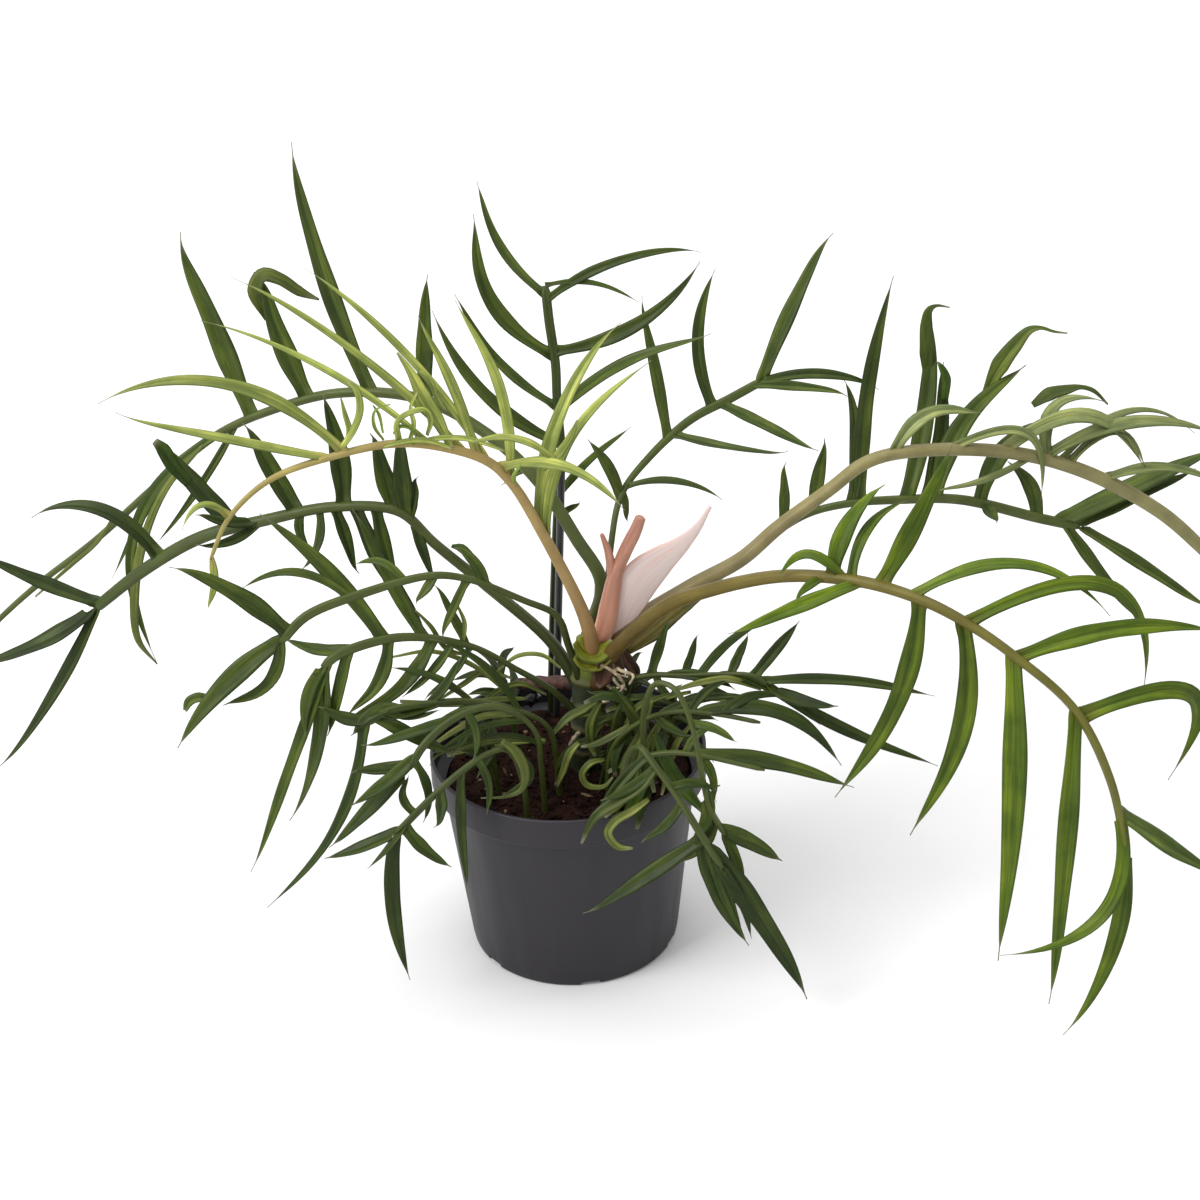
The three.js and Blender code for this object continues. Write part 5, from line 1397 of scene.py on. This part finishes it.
class PLANT_OT_soil(bpy.types.Operator):
    """Fills the pot with crumbled mix, with crumbs and bark chips on its surface."""

    bl_idname = "plant.soil"
    bl_label = "Soil"

    def execute(self, context):
        settings = context.scene.plant_soil
        pot = context.scene.plant_pot
        wall = (pot.shoulder_radius - pot.wall) / MM - SOIL_GAP
        low = (pot.base_radius - pot.wall) / MM - SOIL_FOOT_GAP
        floor = pot.floor / MM + CLEARANCE
        angles = round_angles(SOIL_SIDES)
        rings = [ring_at(r, floor, angles) for r in (SOIL_MIDDLES[0], low - SOIL_BEVEL)]
        rings.append(ring_at(low, floor + SOIL_BEVEL, angles))
        edge = wall - SOIL_GAP
        for radius in [edge, *np.linspace(edge - SOIL_EDGE, SOIL_MIDDLES[1], SOIL_RINGS)]:
            drop = SOIL_DROP if radius == edge else 0
            rings.append([(x, y, ground(x, y) - drop) for x, y, _ in ring_at(radius, 0, angles)])
        skin = Skin()
        skin.add(rings, {})
        draw = random_source(settings.seed)
        for i in range(settings.crumbs + settings.chips):
            radius = (edge - CRUMB_EDGE) * math.sqrt(draw())
            turn = draw() * TURN
            x, y = radius * math.cos(turn), radius * math.sin(turn)
            size = CRUMB_SIZE[0] + CRUMB_SIZE[1] * draw() ** 2
            width = size * (CRUMB_WIDTH[0] + CRUMB_WIDTH[1] * draw())
            sizes = (size, width, size * CRUMB_HEIGHT)
            if i >= settings.crumbs:
                sizes = [least + more * draw() for least, more in CHIP_SIZES]
            middle = (x, y, ground(x, y) + sizes[2] * LUMP_LIFT)
            skin.add(lump(middle, sizes, draw), {"tint": draw()})
        skin.build("potting_mix", [soil_material()], "soil")
        return {"FINISHED"}


class PLANT_OT_stem(bpy.types.Operator):
    """Grows the short ringed stem and its curling aerial roots."""

    bl_idname = "plant.stem"
    bl_label = "Stem"

    def execute(self, context):
        skin = Skin()
        line = Line(STEM_LINE)
        share = np.linspace(0, 1, STEM_STEPS)
        angles = round_angles(STEM_SIDES)
        ring = np.max([np.exp(-(((share - at) / STEM_RING_REACH) ** 2)) for at in STEM_RINGS], axis=0)
        radii = along(STEM_GIRTH, share) + STEM_RING_SWELL * ring
        radii = radii * np.where(share > STEM_TOP[0], STEM_TOP[1], 1)
        waves = STEM_RIPPLES[0] * angles[None, :] + STEM_RIPPLES[1] * share[:, None]
        ripple = STEM_RIPPLE * np.sin(waves)
        rings = tube_rings(line, share, radii[:, None] + ripple, STEM_SIDES)
        skin.add(rings, {"tint": ring[:, None], "run": share[:, None]})
        for points in AERIAL_ROOTS:
            root = Line(points)
            share = np.linspace(0, 1, ROOT_STEPS)
            radii = along(ROOT_GIRTH, share) * (1 + ROOT_RIPPLE * np.sin(share * ROOT_RIPPLES))
            radii[-1] *= ROOT_TIP
            skin.add(tube_rings(root, share, radii, ROOT_SIDES), {}, slot=1)
        self.add_old_stem(skin)
        own = random_source(FIRST_SEED)
        for colour, *knots in SCALES:
            looks = dict.fromkeys(("leaf", "stalk_tip", "yellow", "green"), np.array(colour))
            add_strand(skin, (0, *knots), own, looks, slot=3)
        materials = [stem_material(), root_material(), old_stem_material(), leaf_material()]
        skin.build("ringed_stem", materials, "stem")
        return {"FINISHED"}

    def add_old_stem(self, skin):
        """The stub of an older stem, and the dark knob below its cut end."""
        share = np.linspace(0, 1, OLD_STEM_STEPS)
        radii = along(OLD_STEM_GIRTH, share)
        radii = radii * (1 + OLD_STEM_RIPPLE * np.sin(share * OLD_STEM_RIPPLES))
        radii[0] *= OLD_STEM_END
        skin.add(tube_rings(Line(OLD_STEM), share, radii, OLD_STEM_SIDES), {}, slot=2)
        draw = random_source(FIRST_SEED + 1)
        skin.add(lump(KNOB, KNOB_SIZE, draw), {"tint": 1.0}, slot=2)


class PLANT_OT_stake(bpy.types.Operator):
    """Sets the thin straight support stake behind the stem."""

    bl_idname = "plant.stake"
    bl_label = "Stake"

    def execute(self, context):
        skin = Skin()
        line = Line([STAKE_FOOT, STAKE_TOP])
        radii = np.full(len(STAKE_RINGS), STAKE_RADIUS)
        radii[0] = STAKE_FOOT_RADIUS
        radii[-3:] = STAKE_TIP_RADII
        skin.add(tube_rings(line, STAKE_RINGS, radii, STAKE_SIDES), {})
        skin.build("support_stake", [stake_material()], "stake")
        return {"FINISHED"}


class PLANT_OT_new_growth(bpy.types.Operator):
    """Unrolls the newest leaf beside its pale cupped sheath."""

    bl_idname = "plant.new_growth"
    bl_label = "New growth"

    def execute(self, context):
        self.make_cataphyll()
        self.make_new_leaf()
        return {"FINISHED"}

    def make_cataphyll(self):
        """The pale sheath: a thin cupped blade that ends in a point."""
        line = Line(CATAPHYLL_LINE)
        share = np.linspace(0, 1, CATAPHYLL_STEPS)
        middle = line.at(share)
        heading = line.heading(share)
        face = square_to(heading, unit(CATAPHYLL_FACING))
        width = along(CATAPHYLL_WIDTHS, share)
        blur = np.full(CATAPHYLL_BLUR, 1 / CATAPHYLL_BLUR)
        width = np.convolve(np.pad(width, CATAPHYLL_BLUR // 2, "edge"), blur, "valid")
        across = np.linspace(-1, 1, CATAPHYLL_ACROSS)
        spread = np.concatenate([across, across[::-1]])
        skins = np.repeat([CATAPHYLL_HALF, -CATAPHYLL_HALF], CATAPHYLL_ACROSS)
        lift = skins * (1 - CATAPHYLL_THIN * spread**4) - CATAPHYLL_CUP * width[:, None] * spread**2
        rings = blade_rings(middle, np.cross(heading, face), width[:, None] * spread / 2, face, lift)
        skin = Skin()
        skin.add(rings, {"across": spread[None, :], "run": share[:, None]})
        skin.build("pale_sheath", [cataphyll_material()], "cataphyll")

    def make_new_leaf(self):
        """The rolled leaf and its two prongs."""
        skin = Skin()
        self.add_roll(skin, NEW_LEAF_BODY, NEW_LEAF_GIRTH, 0.0)
        for points, girth in zip(NEW_LEAF_PRONGS, NEW_LEAF_PRONG_GIRTHS):
            self.add_roll(skin, points, girth, 0.5)
        skin.build("rolled_leaf", [new_leaf_material()], "new_leaf")

    def add_roll(self, skin, points, girth, start):
        """A rolled blade: a tube whose edge shows as a step that winds up its side."""
        line = Line(points)
        share = np.linspace(0, 1, NEW_LEAF_STEPS)
        radii = along(girth, share)
        radii[-1] *= NEW_LEAF_TIP
        angles = round_angles(NEW_LEAF_SIDES)
        seam = (angles[None, :] - SEAM_START - SEAM_TURN * share[:, None]) % TURN
        radii = radii[:, None] * (SEAM_STEP[0] + SEAM_STEP[1] * seam / TURN)
        marks = {"across": np.cos(angles)[None, :], "run": start + share[:, None] / 2}
        skin.add(tube_rings(line, share, radii, NEW_LEAF_SIDES), marks)


class PLANT_OT_fronds(bpy.types.Operator):
    """Grows the long fronds, each a stalk with its leaflets."""

    bl_idname = "plant.fronds"
    bl_label = "Fronds"

    def execute(self, context):
        for i, row in enumerate(FRONDS):
            make_frond(row, FIRST_SEED + i)
        return {"FINISHED"}


class PLANT_OT_tufts(bpy.types.Operator):
    """Grows the young tufts in the middle of the pot."""

    bl_idname = "plant.tufts"
    bl_label = "Tufts"

    def execute(self, context):
        level = context.scene.plant_soil.level / MM
        for i, (name, foot, head, reach, toward, fan, seed) in enumerate(TUFTS):
            x, y, z = head
            middle = ((foot[0] + x) / 2, (foot[1] + y) / 2, (level + z) / 2)
            stalk = [(*foot, level - TUFT_DEPTH), (*foot, level), middle, head]
            leaflets = tuft_leaflets(z - level, reach, toward, fan, seed)
            row = (name, "mid", "green", TUFT_GIRTH, stalk, leaflets)
            make_frond(row, FIRST_SEED + len(FRONDS) + i)
        return {"FINISHED"}


def tuft_leaflets(height, reach, toward, fan, seed):
    """A tuft's leaflets: fanned to one side of it, and longer or shorter by chance."""
    draw = random_source(seed)
    rows = []
    for i in range(TUFT_LEAFLETS):
        turn = math.radians(toward + fan * ((i * GOLDEN_RATIO) % 1 - 0.5))
        length = reach * (TUFT_LENGTHS[0] + (TUFT_LENGTHS[1] - TUFT_LENGTHS[0]) * draw())
        lift = length * (TUFT_RISE - TUFT_DROOP * draw())
        width = TUFT_WIDTHS[0] + (TUFT_WIDTHS[1] - TUFT_WIDTHS[0]) * draw()
        dx, dy = length * math.cos(turn), length * math.sin(turn)
        bow = math.copysign(TUFT_BOW * length, dx)
        rows.append((i * height * TUFT_SPREAD / TUFT_LEAFLETS, dx, dy, lift, bow, width))
    return rows


class PLANT_PT_panel(bpy.types.Panel):
    """Lists the pieces of the plant."""

    bl_label = "Potted plant"
    bl_space_type = "VIEW_3D"
    bl_region_type = "UI"
    bl_category = "Plant"

    def draw(self, context):
        for operator in OPERATORS:
            self.layout.operator(operator.bl_idname)


OPERATORS = (
    PLANT_OT_stage,
    PLANT_OT_pot,
    PLANT_OT_soil,
    PLANT_OT_stem,
    PLANT_OT_stake,
    PLANT_OT_new_growth,
    PLANT_OT_fronds,
    PLANT_OT_tufts,
)
SETTINGS = {
    "plant_pot": PotSettings,
    "plant_leaves": LeafSettings,
    "plant_growth": GrowthSettings,
    "plant_soil": SoilSettings,
    "plant_stage": StageSettings,
}


def register():
    for group in SETTINGS.values():
        bpy.utils.register_class(group)
    for name, group in SETTINGS.items():
        setattr(bpy.types.Scene, name, PointerProperty(type=group))
    for operator in OPERATORS:
        bpy.utils.register_class(operator)
    bpy.utils.register_class(PLANT_PT_panel)


def unregister():
    bpy.utils.unregister_class(PLANT_PT_panel)
    for operator in reversed(OPERATORS):
        bpy.utils.unregister_class(operator)
    for name in SETTINGS:
        delattr(bpy.types.Scene, name)
    for group in reversed(SETTINGS.values()):
        bpy.utils.unregister_class(group)


def main():
    register()
    bpy.ops.plant.stage()
    bpy.ops.plant.pot()
    bpy.ops.plant.soil()
    bpy.ops.plant.stem()
    bpy.ops.plant.stake()
    bpy.ops.plant.new_growth()
    bpy.ops.plant.fronds()
    bpy.ops.plant.tufts()


if __name__ == "__main__":
    main()
